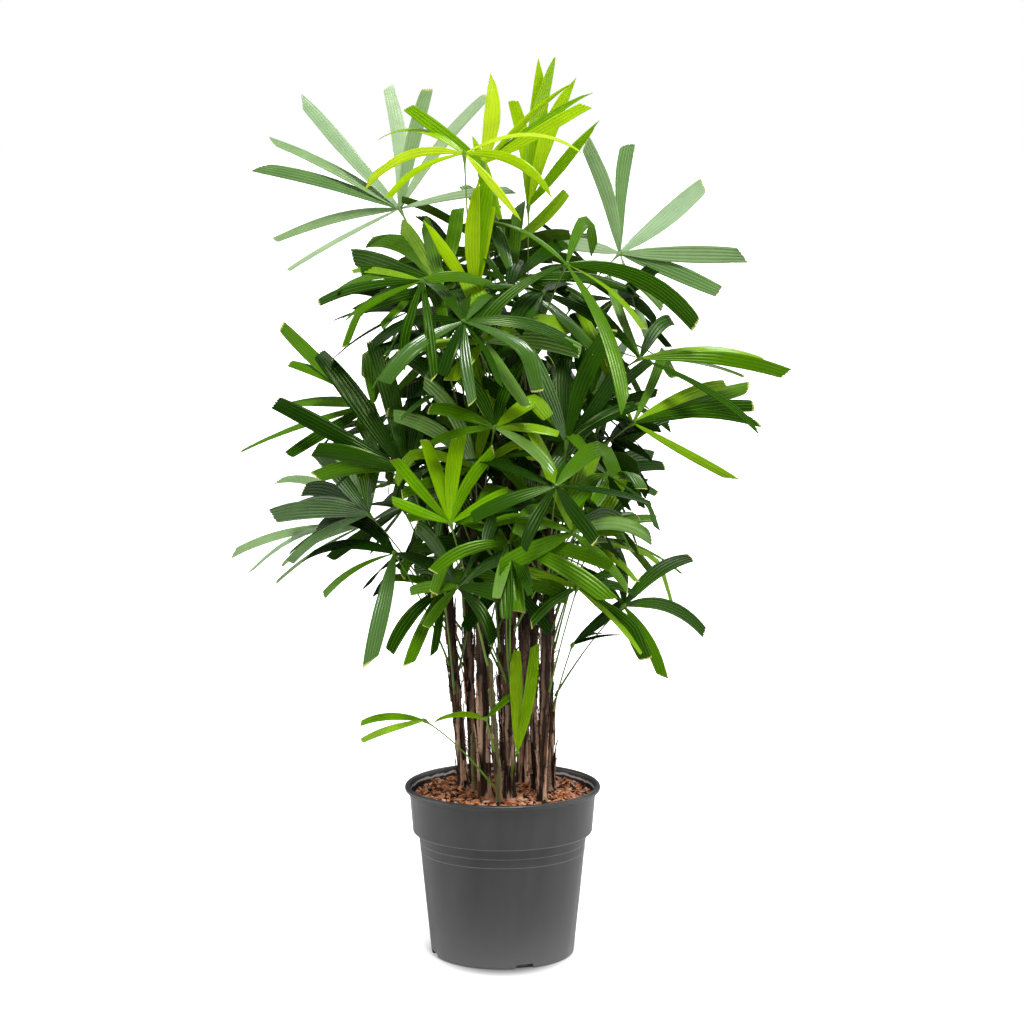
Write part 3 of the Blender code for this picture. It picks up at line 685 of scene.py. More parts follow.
chance = random.Random("bark chips")
chips = Heap("bark_chips")
for _ in range(CHIPS):
    tint = chance.choices(range(len(CHIP_TINTS)), CHIP_SHARES)[0]
    chips.add(chip(chance), BOX_FACES, tint)
chip_looks = []
for number, tint in enumerate(CHIP_TINTS):
    darker = tuple(CHIP_FLECK * part for part in tint)
    chip_looks.append(finish(f"chip_{number}", tint, darker, 0.5, (300, 300, 300), (0.75, 0.95),
                             (700, 700, 700), 0.4, specular=0.25))
chips.piece(chip_looks, "bark_chips")

bed = finish("chip_bed", (0.03, 0.012, 0.007), (0.12, 0.045, 0.022), 0.9, (260, 260, 260),
             (0.85, 1.0), (500, 500, 500), 1.0, specular=0.15)
fill = solids["bark_substrate"]
fill.data.materials.clear()
fill.data.materials.append(bed)
print(CHIPS, "chips on the fill")

# %% [markdown]
# ## The canes
# A lady palm grows as a clump of thin canes. Each is wrapped in the old leaf sheaths: a mat of
# dark woven fibre whose rims overlap like sleeves, worn to the bare, pale wood near the soil.
# The axis and the taper are those of the solids. The relief is worked out for every point of a
# fine tube: a sleeve that swells to its slanted rim and drops back, crossed fibres, and noise.

# %% Cane table
GAP = 0.0003
CANE_FOOT = SOIL_TOP + GAP
FLARE = 1.35
FLARE_SHARE = 0.06
CANE_TAPER = 0.8
LOOK_AHEAD = 0.01

Cane = namedtuple("Cane", "name foot top radius bow")
CANES = (
    Cane("cane_left", (-0.053, 0.016), (-0.082, 0.030, 0.640), 0.0075, 0.003),
    Cane("cane_stub", (-0.037, -0.003), (-0.040, -0.004, 0.310), 0.0050, 0.001),
    Cane("cane_front_left", (-0.023, -0.044), (-0.036, -0.035, 0.860), 0.0090, 0.002),
    Cane("cane_young", (-0.004, -0.073), (-0.018, -0.084, 0.430), 0.0050, -0.003),
    Cane("cane_slim", (0.002, -0.020), (-0.012, 0.006, 0.900), 0.0055, 0.002),
    Cane("cane_front", (0.009, -0.045), (0.012, -0.040, 0.800), 0.0085, 0.001),
    Cane("cane_tall", (0.027, 0.046), (0.034, 0.036, 0.880), 0.0085, 0.003),
    Cane("cane_right_slim", (0.043, -0.002), (0.046, -0.004, 0.740), 0.0055, -0.002),
    Cane("cane_right", (0.054, -0.061), (0.064, -0.062, 0.620), 0.0070, -0.001),
    Cane("cane_right_back", (0.067, -0.002), (0.076, 0.014, 0.680), 0.0060, -0.006),
    Cane("cane_back_left", (-0.040, 0.052), (-0.056, 0.078, 0.760), 0.0070, 0.003),
    Cane("cane_back_right", (0.055, 0.060), (0.066, 0.090, 0.700), 0.0065, 0.002),
)


def cane_length(cane):
    """Height of a cane's tip above its foot."""
    return Vector(cane.top).z - CANE_FOOT


def cane_centre(cane, share):
    """Point on a cane's axis, from its foot (share 0) to its tip (share 1)."""
    foot = Vector((*cane.foot, CANE_FOOT))
    outward = Vector((*cane.foot, 0.0)).normalized()
    return foot.lerp(Vector(cane.top), share) + outward * cane.bow * 4 * share * (1 - share)


def cane_radius(cane, share):
    """Radius of a cane: a flared foot, then an even taper."""
    flare = 1 + (FLARE - 1) * max(0.0, 1 - share / FLARE_SHARE) ** 2
    return cane.radius * flare * (1 - (1 - CANE_TAPER) * share)


def cane_frame(cane, share):
    """Axis point and three directions of a cane: along, across and square to both."""
    along = cane_centre(cane, share + LOOK_AHEAD) - cane_centre(cane, share - LOOK_AHEAD)
    along = along.normalized()
    across = along.cross(Vector((0.0, -1.0, 0.0))).normalized()
    return cane_centre(cane, share), along, across, along.cross(across)


def spoke(across, other, angle):
    """The direction at an angle round an axis, between two directions square to it."""
    return across * math.cos(angle) + other * math.sin(angle)


print(len(CANES), "canes")

# %% Sleeves of old sheath
CANE_SIDES = 26
CANE_STEP = 0.0028
SLEEVES = (0.026, 0.048)
SLEEVE_TURN = 0.5
SLEEVE_SWELL = 0.0013
SLEEVE_SLANT = 0.009
SHORTEST_SLEEVE = 0.002
RAGGED = 0.003
RAGGED_REPEATS = (3, 30)
BARE_HEIGHT = 0.10
LEAST_WEAR = 0.25
FIBRE_DEPTH = 0.00045
FIBRES_ROUND = 9
FIBRES_UP = (700, 610)
LUMP_DEPTH = 0.0005
LUMP_REPEATS = (1.6, 45)
LUMP_START = 900
SUNK_SHARE = 0.4
TIP_SHARE = 0.35
TIP_HEIGHT = 0.006


def sleeve_rims(cane, chance):
    """Height above the foot of each sleeve's rim, and the side its rim is highest on."""
    rims = [(0.0, 0.0)]
    side = chance.uniform(0, 2 * math.pi)
    while rims[-1][0] < cane_length(cane) + SLEEVES[1]:
        side += math.pi + chance.uniform(-SLEEVE_TURN, SLEEVE_TURN)
        rims.append((rims[-1][0] + chance.uniform(*SLEEVES), side))
    return rims


def bark_relief(cane, rims, height, angle):
    """How far the bark stands out at a height above the foot and an angle round the cane."""
    around = Vector((math.cos(angle), math.sin(angle), 0.0))
    ragged = RAGGED * noise.noise(around * RAGGED_REPEATS[0] + Vector((0, 0, height * RAGGED_REPEATS[1])))
    below = 0.0
    for rim, side in rims:
        edge = rim + SLEEVE_SLANT * math.cos(angle - side) + ragged
        if edge > height:
            swell = (height - below) / max(edge - below, SHORTEST_SLEEVE)
            break
        below = edge
    wear = min(1.0, max(LEAST_WEAR, height / BARE_HEIGHT))
    crossed = (math.sin(angle * FIBRES_ROUND + height * FIBRES_UP[0])
               * math.sin(angle * FIBRES_ROUND - height * FIBRES_UP[1]))
    place = Vector((cane.radius * LUMP_START, 0, height * LUMP_REPEATS[1]))
    lumps = noise.noise(around * LUMP_REPEATS[0] + place)
    return (SLEEVE_SWELL * wear * swell ** 2 + FIBRE_DEPTH * wear * crossed
            + LUMP_DEPTH * lumps - SLEEVE_SWELL * SUNK_SHARE)


def dressed_cane(cane, look):
    """A fine tube with the bark's relief, in place of the cane's solid."""
    rims = sleeve_rims(cane, random.Random(cane.name))
    length = cane_length(cane)
    steps = int(length / CANE_STEP)
    angles = [2 * math.pi * i / CANE_SIDES for i in range(CANE_SIDES)]
    rings = []
    for step in range(steps + 1):
        share = step / steps
        centre, _, across, other = cane_frame(cane, share)
        closing = min(1.0, TIP_SHARE + (1 - share) * length / TIP_HEIGHT)
        reaches = [cane_radius(cane, share) + bark_relief(cane, rims, share * length, angle)
                   for angle in angles]
        rings.append([centre + spoke(across, other, angle) * reach * closing
                      for angle, reach in zip(angles, reaches)])
    heap = Heap(f"{cane.name}_bark")
    heap.add(*loft(rings))
    heap.piece([look], "cane_sheath", [cane.name])


print("sleeves from", SLEEVES[0], "to", SLEEVES[1], "m long")

# %% [markdown]
# ## Bark finishes
# The fibre mat is nearly black-brown with lighter threads that run along the cane. Stretching
# the noise along Z draws those threads. Low on the cane the mat has worn off and the wood shows
# as a warm tan, so a second colour comes in by height, broken up by the same noise. The young
# shoot in front is still green-brown.

# %% Bark finishes
STREAK_REPEATS = (130, 130, 9)
STREAKS = (0.50, 0.60)


def add_worn_foot(look, pale, top):
    """Bring in a paler colour towards the soil, broken up by long streaks."""
    tree = look.node_tree
    streaks = mapped(tree, noise_at(tree, stretched(tree, STREAK_REPEATS), BLOTCH_DETAIL), *STREAKS)
    down = mapped(tree, axes(tree)["Z"], top, CANE_FOOT)
    paint(look, sums(tree, "MULTIPLY", down, streaks), pale)


fibre_mat = finish("fibre_mat", (0.006, 0.003, 0.0018), (0.078, 0.040, 0.021), 0.80, (200, 200, 14),
                   (0.7, 0.95), (500, 500, 90), 1.0, specular=0.2)
add_worn_foot(fibre_mat, (0.74, 0.47, 0.32), 0.46)
young_bark = finish("young_bark", (0.10, 0.075, 0.03), (0.20, 0.20, 0.06), 0.8, (200, 200, 18),
                    (0.55, 0.8), (500, 500, 60), 0.5, specular=0.3)
add_worn_foot(young_bark, (0.34, 0.20, 0.11), 0.34)
for cane in CANES:
    dressed_cane(cane, young_bark if cane.name in ("cane_young", "cane_stub") else fibre_mat)

# %% [markdown]
# ## Torn sheaths and loose fibres
# Where a leaf has fallen, its sheath splits and stands off the cane as a papery tongue, and
# single fibres curl out from the rims. Both break up the canes' outline, so they are real
# shells: a tongue is a curved strip that hugs the cane and flares at its tip.

# %% Tongues and threads
TONGUES_PER_METRE = 34
TONGUES_FROM = 0.004
TONGUES_BELOW_TIP = 0.08
TONGUES_LOW = 1.7
TONGUE_LENGTH = (0.018, 0.070)
TONGUE_SPREAD = (0.25, 0.95)
TONGUE_FLARE = (0.001, 0.006)
TONGUE_LEAN = 0.3
TONGUE_POINT = 1.4
TONGUE_TIP = 0.03
TONGUE_OFF = 0.0006
TONGUE_CURL = 0.0008
TONGUE_ROWS = 9
TONGUE_COLUMNS = 6
TONGUE_WAVES = (2.1, 0.7)
TONGUE_HIGHEST = 0.99
PAPER = 0.0004
PAPERY_SHARE = 0.7
PAPERY_FADE = 1.7
DARK_SHARE = 0.55
THREADS_PER_METRE = 320
THREADS_BETWEEN = (0.03, 0.97)
THREAD_LENGTH = (0.009, 0.026)
THREAD_RADIUS = 0.00042
THREAD_TAPER = 0.7
THREAD_CURL = (-1.2, 1.6)
THREAD_RISE = (-0.2, 0.9)
THREAD_TURN = 0.35
THREAD_DRIFT = 0.5
FIRST_DRIFT = 0.4
THREAD_POINTS = 6
THIRDS = (0, 2.094, 4.189)


def tongue(cane, height, angle, chance):
    """One split sheath: wide and close to the cane below, pointed and loose above."""
    reach = chance.uniform(*TONGUE_LENGTH)
    spread = chance.uniform(*TONGUE_SPREAD)
    flare = chance.uniform(*TONGUE_FLARE)
    lean = chance.uniform(-TONGUE_LEAN, TONGUE_LEAN)
    top = np.zeros((TONGUE_ROWS, TONGUE_COLUMNS, 3))
    bottom = np.zeros_like(top)
    for r in range(TONGUE_ROWS):
        t = r / (TONGUE_ROWS - 1)
        share = min(TONGUE_HIGHEST, (height + t * reach) / cane_length(cane))
        centre, _, across, other = cane_frame(cane, share)
        width = spread * (1 - t ** TONGUE_POINT) + TONGUE_TIP
        radius = cane_radius(cane, share) + TONGUE_OFF + flare * t ** 3
        for c in range(TONGUE_COLUMNS):
            turn = angle + lean * t + width * (c / (TONGUE_COLUMNS - 1) - 0.5)
            out = spoke(across, other, turn)
            curl = TONGUE_CURL * math.sin(c * TONGUE_WAVES[0] + r * TONGUE_WAVES[1])
            top[r, c] = centre + out * (radius + PAPER + curl)
            bottom[r, c] = centre + out * (radius + curl)
    return shell(top, bottom)


def thread(start, out, along, chance):
    """A loose fibre: a three-sided tube that curls away from the cane."""
    reach = chance.uniform(*THREAD_LENGTH)
    curl = chance.uniform(*THREAD_CURL)
    drift = Vector([chance.uniform(-1, 1) for _ in range(3)]) * THREAD_DRIFT
    rings = []
    point = Vector(start)
    heading = (out + along * chance.uniform(*THREAD_RISE) + drift * FIRST_DRIFT).normalized()
    for step in range(THREAD_POINTS):
        side = heading.orthogonal().normalized()
        other = heading.cross(side)
        radius = THREAD_RADIUS * (1 - THREAD_TAPER * step / THREAD_POINTS)
        rings.append([point + spoke(side, other, angle) * radius for angle in THIRDS])
        heading = (heading + (along * curl + drift) * THREAD_TURN).normalized()
        point = point + heading * reach / THREAD_POINTS
    return loft(rings)


tongues = Heap("split_sheaths")
threads = Heap("loose_fibres")
for cane in CANES:
    chance = random.Random("torn " + cane.name)
    length = cane_length(cane)
    for _ in range(int(TONGUES_PER_METRE * length)):
        height = TONGUES_FROM + (length - TONGUES_BELOW_TIP) * chance.random() ** TONGUES_LOW
        shape = tongue(cane, height, chance.uniform(0, 2 * math.pi), chance)
        papery = chance.random() < PAPERY_SHARE - height * PAPERY_FADE
        tongues.add(*shape, 0 if papery else 1 + (chance.random() < DARK_SHARE))
    for _ in range(int(THREADS_PER_METRE * length)):
        share = chance.uniform(*THREADS_BETWEEN)
        centre, along, across, other = cane_frame(cane, share)
        out = spoke(across, other, chance.uniform(0, 2 * math.pi))
        threads.add(*thread(centre + out * cane_radius(cane, share), out, along, chance))
sheath_looks = [
    finish("papery_sheath", (0.84, 0.56, 0.40), (0.16, 0.080, 0.05), 0.9, (330, 330, 26),
           (0.6, 0.85), (500, 500, 60), 0.6, specular=0.25),
    finish("brown_sheath", (0.15, 0.076, 0.042), (0.022, 0.011, 0.007), 0.9, (330, 330, 26),
           (0.65, 0.9), (500, 500, 60), 0.8, specular=0.2),
    finish("dark_sheath", (0.016, 0.008, 0.005), (0.060, 0.031, 0.018), 0.7, (330, 330, 26),
           (0.65, 0.9), (500, 500, 60), 0.8, specular=0.2)]
thread_look = finish("loose_thread", (0.034, 0.018, 0.012), (0.016, 0.009, 0.006), 0.5,
                     (90, 90, 90), (0.7, 0.9), (400, 400, 400), 0.2, specular=0.2)
tongues.piece(sheath_looks, "cane_sheath")
threads.piece([thread_look], "cane_sheath")

# %% [markdown]
# ## The table of fans
# Each row is one fan as the solids have it: its cane and the height where its stalk leaves it,
# the hub where the leaflets meet, the way its upper face looks (turn and tilt in degrees), the
# longest leaflet, the widest one, the droop, the tone, and the leaflets' headings as seen from
# the front (degrees clockwise from straight up). Heights, places and sizes are in millimetres.
# A pair among the headings is a leaflet narrower or wider than its fan: its heading and its
# share of the width. Using the same rows keeps every leaf where the solids say.

# %% Fan table
Frond = namedtuple("Frond", "name cane leaves hub face reach width droop tone headings")


def in_metres(name, cane, leaves, hub, face, reach, width, *rest):
    """A fan of the table, with its millimetres turned into metres."""
    hub = tuple(mm / 1000 for mm in hub)
    return Frond(name, "cane_" + cane, leaves / 1000, hub, face, reach / 1000, width / 1000, *rest)


FRONDS = [in_metres(*row) for row in (
    ("grey_top", "front_left", 800, (-140, 60, 1025), (-20, 30), 245, 19, 0.12, "dusty",
     (-114, -95, -75, -62, -39, -9, 15, 36, 80)),
    ("spear", "tall", 860, (35, 15, 1030), (0, 5), 205, 24, 0.08, "lime", (-8, 4, 10, 18, 37)),
    ("lime_crest", "slim", 870, (-25, -45, 1090), (10, 20), 170, 22, 0.2, "lime",
     ((5, 1.5), (42, 0.5), (49, 0.45), (58, 0.7), -50)),
    ("lime_arch", "front_left", 840, (-50, -80, 1105), (-10, 50), 170, 15, 0.85, "lime",
     (-102, -88, -74, -58, 74, 100, 118)),
    ("lime_upright", "front", 760, (-35, -70, 915), (-10, 5), 165, 20, 0.05, "lime", (-30, -10, -2, 9)),
    ("left_shoulder", "front_left", 720, (-80, -80, 930), (-20, 35), 195, 24, 0.35, "mid",
     (-88, -74, -59, -44, -29, -13, 16)),
    ("left_sweep", "front_left", 680, (-105, -120, 940), (-30, 50), 205, 15, 0.7, "mid",
     (-108, -98, -88, -76, -62, -150, 170)),
    ("left_hand", "left", 560, (-175, -20, 765), (-30, 30), 215, 20, 0.15, "mid",
     (-125, -110, -84, -15, -51, -66)),
    ("left_inner", "left", 500, (-130, -90, 685), (-10, 25), 205, 24, 0.25, "dark",
     (-84, -72, -60, -34, -14, 3, 24)),
    ("left_fall", "left", 460, (-180, -50, 620), (-35, 35), 185, 22, 0.4, "dark",
     (-112, -100, -88, -74, -58, -40, -18, 12)),
    ("left_low_back", "back_left", 440, (-190, 50, 590), (-40, 45), 225, 13, 0.6, "dusty",
     (-114, -106, -98, -88, -60, -20, 60)),
    ("left_low", "left", 400, (-145, -70, 570), (-30, 50), 185, 24, 0.6, "dark",
     (95, -30, -56, -163, -82, -100)),
    ("low_tuft", "left", 360, (-80, -60, 520), (-20, 50), 135, 16, 0.7, "mid",
     (-164, -146, -128, -72, -50)),
    ("centre_low", "front", 420, (10, -170, 600), (0, 55), 165, 20, 0.6, "mid",
     (-100, -86, -70, -160, -176, 168, 150, 106, 88, 52, 22)),
    ("centre_right", "right", 520, (85, -110, 725), (10, 20), 160, 22, 0.25, "dark",
     (-64, -50, -24, 3, 19, 34, 60)),
    ("centre_crown", "front", 740, (-50, -160, 890), (-5, 55), 165, 22, 0.8, "dark",
     (-148, -112, -72, -46, -14, 26, 84, 106, 130, 168)),
    ("crown_heart", "tall", 780, (15, -40, 935), (5, 40), 180, 20, 0.45, "dark",
     (-130, -95, -60, -24, 12, 48, 84, 120, 165)),
    ("right_crown", "front", 780, (85, -90, 960), (25, 45), 230, 20, 0.75, "mid",
     (-104, -50, 90, 155, 100, 108, 20)),
    ("grey_right", "tall", 820, (160, 50, 965), (22, 18), 180, 22, 0.12, "dusty",
     (-58, -17, 8, 50, 92, 113, 156)),
    ("right_long", "right_slim", 700, (185, -40, 830), (20, 45), 225, 18, 0.35, "mid",
     (-82, -50, 30, 84, 91, 98, 112, -20)),
    ("right_hand", "right_slim", 600, (175, -60, 745), (20, 40), 215, 17, 0.3, "mid",
     (-60, -24, 20, 62, 69, 76, 84, 112)),
    ("right_inner", "right_back", 620, (120, 40, 750), (20, 20), 140, 17, 0.3, "dark",
     (-60, -36, -10, 12, 30, 48, 72, 100)),
    ("right_back", "right_back", 540, (125, 80, 650), (30, 30), 165, 18, 0.4, "dark",
     (-50, -16, 10, 34, 56, 72, 88)),
    ("right_blade", "right", 440, (115, -50, 590), (25, 30), 145, 20, 0.3, "mid",
     (-40, -14, 8, 28, 44, 62, 84)),
    ("right_thin", "right_back", 460, (105, 60, 565), (35, 50), 215, 12, 0.5, "mid",
     (56, 66, 76, 88, 98, 130)),
    ("right_low", "right_back", 360, (165, -20, 490), (35, 45), 185, 19, 0.5, "mid", (-40, 0, 56, 88, 136)),
    ("right_tuft", "right", 380, (100, -110, 530), (30, 45), 140, 20, 0.45, "mid",
     (-110, -70, 60, 116, 126, 84)),
    ("low_leaf", "right_back", 340, (95, -45, 440), (20, 50), 120, 15, 0.3, "dark", (56, 66, 80)),
    ("sucker", "front", 260, (20, -85, 300), (0, 10), 200, 20, 0.1, "young", (-5, 17)),
    ("sucker_left", "young", 250, (-105, -90, 345), (-20, 45), 135, 14, 0.45, "young", (-100, -84)),
    ("stub_leaf", "young", 300, (-22, -104, 350), (-10, 45), 100, 13, 0.4, "young", (-78, 40)),
    ("inner_fan", "front_left", 500, (-35, -130, 695), (-10, 20), 140, 18, 0.3, "mid",
     (-110, -78, -52, -26, -4, 18, 42)),
    ("low_upright", "young", 420, (-68, -165, 625), (0, 15), 120, 18, 0.2, "young",
     (-62, -40, -16, 6, 30, 60)),
    ("middle_left", "front_left", 600, (-10, -150, 750), (-10, 35), 150, 20, 0.45, "mid",
     (-96, -64, -36, -8, 20, 50, 84, 120)),
    ("centre_leaf", "front", 500, (40, -130, 650), (20, 30), 130, 19, 0.3, "dark",
     (-110, -78, -40, -10, 34, 58, 84, 112)),
    ("back_crown", "slim", 840, (-10, 110, 960), (170, 40), 165, 19, 0.35, "mid",
     (-122, -86, -52, -18, 18, 52, 86, 122)),
    ("back_upper", "back_left", 740, (-50, 190, 900), (-165, 40), 185, 18, 0.4, "dark",
     (-125, -90, -56, -20, 18, 54, 90)),
    ("back_high_left", "back_left", 700, (-130, 110, 880), (-115, 40), 190, 19, 0.4, "dark",
     (-150, -115, -80, -50, -15, 30, 80, 130)),
    ("back_high_right", "tall", 760, (140, 120, 850), (115, 40), 185, 19, 0.4, "mid",
     (150, 120, 92, 66, -30, -80, -130)),
    ("back_middle", "tall", 640, (20, 200, 800), (180, 40), 190, 20, 0.45, "dusty",
     (-125, -88, -52, -18, 18, 52, 88, 125)),
    ("back_left", "back_left", 600, (-170, 110, 720), (-110, 35), 180, 19, 0.45, "mid",
     (-150, -115, -84, -52, -15, 35, 90, 140)),
    ("back_right", "back_right", 620, (150, 130, 700), (110, 35), 165, 19, 0.45, "dark",
     (150, 115, 84, 52, 15, -35, -90, -140)),
    ("back_low", "back_left", 500, (-30, 200, 660), (-170, 45), 180, 19, 0.5, "mid",
     (-130, -92, -56, -20, 16, 52, 90, 130)),
    ("back_low_left", "back_left", 400, (-140, 140, 600), (-125, 45), 175, 18, 0.5, "dark",
     (-150, -120, -88, -56, -20, 30, 100)),
    ("back_low_right", "back_right", 460, (115, 160, 590), (125, 45), 155, 18, 0.5, "mid",
     (150, 120, 88, 56, 20, -30, -100)),
    ("back_skirt", "back_right", 360, (20, 140, 530), (175, 50), 150, 18, 0.6, "mid",
     (-112, -76, -36, 0, 36, 76, 112)),
)]
print(len(FRONDS), "fans with", sum(len(frond.headings) for frond in FRONDS), "leaflets")

# %% [markdown]
# ## The rule that places leaflets
# A leaflet heads the way its row says, tilted in depth so that it lies in the fan's plane, and
# sags more towards its tip. Where it would cut through another fan it is turned, lifted or
# shortened a little. That is decided on slim three-sided cores, in the order of the table, as
# for the solids: a fine leaf made first and then moved would no longer match them.

# %% Sizes of stalks and leaflets
STALK_RADIUS = 0.0022
CORE_SIDES = 3
STALK_POINTS = 5
STALK_RISE = 0.18
STALK_CLEAR = 0.0002
SEAT = 0.0004
SEATING_PASSES = 4
LOWEST_SEAT = 0.02
HIGHEST_SEAT = 0.97
HUB_RADIUS = 0.0085
CURVE_STEPS = 20
LEAF_STATIONS = (0, 4, 12, 20)
LEAF_PROFILE = (0.16, 0.86, 1.0, 0.58)
LEAF_START = 0.002
LEAF_MIN_THICKNESS = 0.0020
THICKNESS_SHARE = 1 / 90
LENGTH_SPREAD = (0.93, 1.04)
WIDTH_SPREAD = (0.85, 1.15)
DROOP_POWER = 1.5
OUTER_SHORTER = 0.28
OUTER_NARROWER = 0.30
ROLL = 22
DEEPEST_LEAN = 2.2
CLEAR = 0.0005
STALK_RAISES = (0.0, 0.02, -0.02, 0.04, -0.04, 0.07, -0.07, -0.10)
STALK_SWAYS = (0.0, 0.01, -0.01, 0.02, -0.02, 0.035, -0.035, 0.05, -0.05)
LEAF_CUTS = (1.0, 0.86, 0.72)
LEAF_SHIFTS = ((0, 0.0), (4, 0.0), (-4, 0.0), (0, -0.15), (0, 0.15), (8, 0.0), (-8, 0.0),
               (4, -0.2), (-4, -0.2), (6, 0.25), (-6, 0.25), (12, 0.0), (-12, 0.0))
print("a leaflet may try", len(LEAF_CUTS) * len(LEAF_SHIFTS), "places")

# %% Stalks


def tube(path, radii, sides):
    """Points and faces of a closed tube along a path, with a radius for each point."""
    rings = []
    for i, (centre, radius) in enumerate(zip(path, radii)):
        before = path[max(0, i - 1)]
        after = path[min(len(path) - 1, i + 1)]
        heading = (after - before).normalized()
        across = heading.cross(Vector((0.0, -1.0, 0.0))).normalized()
        other = heading.cross(across).normalized()
        angles = [2 * math.pi * k / sides for k in range(sides)]
        rings.append([centre + spoke(across, other, angle) * radius for angle in angles])
    return loft(rings)


def bend(start, middle, end, count=STALK_POINTS):
    """Points of a smooth bend between two ends."""
    shares = [step / (count - 1) for step in range(count)]
    return [start * (1 - t) ** 2 + middle * 2 * t * (1 - t) + end * t ** 2 for t in shares]


def stalk_core(ends, extra=0.0):
    """The slim tube that stands for a stalk while places are settled."""
    return tube(bend(*ends), [STALK_RADIUS + extra] * STALK_POINTS, CORE_SIDES)


def stalk_ends(start, hub, aside, sway):
    """Start, middle and end of a stalk that goes up steeply, then over to the hub."""
    middle = start.lerp(hub, 0.5) + Vector((-aside.y, aside.x, 0.0)) * sway
    middle.z += STALK_RISE * aside.dot(hub - start)
    return start, middle, hub


def seated_stalk(frond, cane, bark, raise_by, sway):
    """The ends of a stalk whose foot is seated on its cane's bark."""
    share = (frond.leaves + raise_by - CANE_FOOT) / (cane.top[2] - CANE_FOOT)
    share = min(HIGHEST_SEAT, max(LOWEST_SEAT, share))
    axis = cane_centre(cane, share)
    hub = Vector(frond.hub)
    aside = Vector((hub.x - axis.x, hub.y - axis.y, 0.0)).normalized()
    start = axis + aside * (cane_radius(cane, share) + STALK_RADIUS)
    for _ in range(SEATING_PASSES):
        foot = stalk_core(stalk_ends(start, hub, aside, sway))[0][:CORE_SIDES]
        start = start - aside * (min(bark.find_nearest(p)[3] for p in foot) - SEAT)
    return stalk_ends(start, hub, aside, sway)


print("a stalk's core is", 2 * STALK_RADIUS, "m thick")

# %% Leaflet cores


def face_normal(frond):
    """The way a fan's upper face looks."""
    turn, tilt = (math.radians(a) for a in frond.face)
    return Vector((math.sin(turn) * math.cos(tilt), -math.cos(turn) * math.cos(tilt), math.sin(tilt)))


def heading_of(normal, seen):
    """Direction in a fan's plane that looks from the front like the given clock angle."""
    right = math.sin(math.radians(seen))
    rise = math.cos(math.radians(seen))
    lean = -(right * normal.x + rise * normal.z) / normal.y
    lean = max(-DEEPEST_LEAN, min(DEEPEST_LEAN, lean))
    return Vector((right, lean, rise)).normalized()


def leaf_curve(hub, heading, length, droop):
    """Points and headings of a leaflet's rib, which sags more towards its tip."""
    point = hub + heading * LEAF_START
    points = [point]
    headings = [heading]
    for step in range(1, CURVE_STEPS + 1):
        sag = droop * (step / CURVE_STEPS) ** DROOP_POWER
        headings.append((heading - Vector((0.0, 0.0, sag))).normalized())
        point = point + (headings[-2] + headings[-1]).normalized() * length / CURVE_STEPS
        points.append(point)
    return points, headings


def leaf_side(normal, along, roll):
    """Sideways and upward directions of a rolled leaflet at one place."""
    over = (normal - along * normal.dot(along)).normalized()
    lifted = spoke(over, along.cross(over), roll)
    return along.cross(lifted), lifted


def leaf_core(hub, normal, heading, length, width, droop, roll):
    """The slim solid that stands for a leaflet while places are settled."""
    points, headings = leaf_curve(hub, heading, length, droop)
    thickness = max(LEAF_MIN_THICKNESS, length * THICKNESS_SHARE)
    rings = []
    for station, share in zip(LEAF_STATIONS, LEAF_PROFILE):
        side, lifted = leaf_side(normal, headings[station], roll)
        half = side * (width * share / 2)
        top = lifted * (thickness / 3)
        keel = lifted * (-2 * thickness / 3)
        grown = lifted * CLEAR
        outward = side * CLEAR
        rings.append([(points[station] - half + top, -outward + grown),
                      (points[station] + keel, -grown),
                      (points[station] + half + top, outward + grown)])
    plain = loft([[p for p, _ in r] for r in rings])
    wide = loft([[p + g for p, g in r] for r in rings])
    return plain, wide


def leaf_plan(frond):
    """Heading, length, width and roll of each leaflet of a fan."""
    chance = random.Random(frond.name)
    middle = (len(frond.headings) - 1) / 2
    plan = []
    for i, entry in enumerate(frond.headings):
        seen, share = entry if isinstance(entry, tuple) else (entry, 1.0)
        aside = (i - middle) / max(middle, 0.5)
        length = frond.reach * (1 - OUTER_SHORTER * aside ** 2) * chance.uniform(*LENGTH_SPREAD)
        width = frond.width * (1 - OUTER_NARROWER * aside ** 2) * chance.uniform(*WIDTH_SPREAD)
        roll = math.radians(ROLL) * chance.uniform(-1, 1)
        plan.append((seen, length, width * share, roll))
    return plan


def knuckle(frond):
    """The small eight-faced knuckle where the leaflets meet, with room round it."""
    ways = ((1, 0, 0), (0, 1, 0), (-1, 0, 0), (0, -1, 0), (0, 0, 1), (0, 0, -1))
    points = [Vector(frond.hub) + Vector(way) * (HUB_RADIUS + CLEAR) for way in ways]
    faces = [(i, (i + 1) % 4, 4) for i in range(4)] + [((i + 1) % 4, i, 5) for i in range(4)]
    return points, faces


longest = max(leaf[1] for frond in FRONDS for leaf in leaf_plan(frond))
print("the longest leaflet planned is", round(longest, 3), "m")

# %% [markdown]
# ## Fans inside the crown
# The solids are few enough for physics. The real crown is thicker inside, with older fans that
# mostly show as dark blades between the others. Most of them take the dark tone: partly their
# own deep green, partly painted shade for the inside of the crown. They follow the same rule from
# hubs close to the canes, each turned on from the last by the golden angle, as leaves are, and
# they go through the same test, so they fill only what is free within the solids' reach. Three
# rows thicken the bright new growth at the crest.

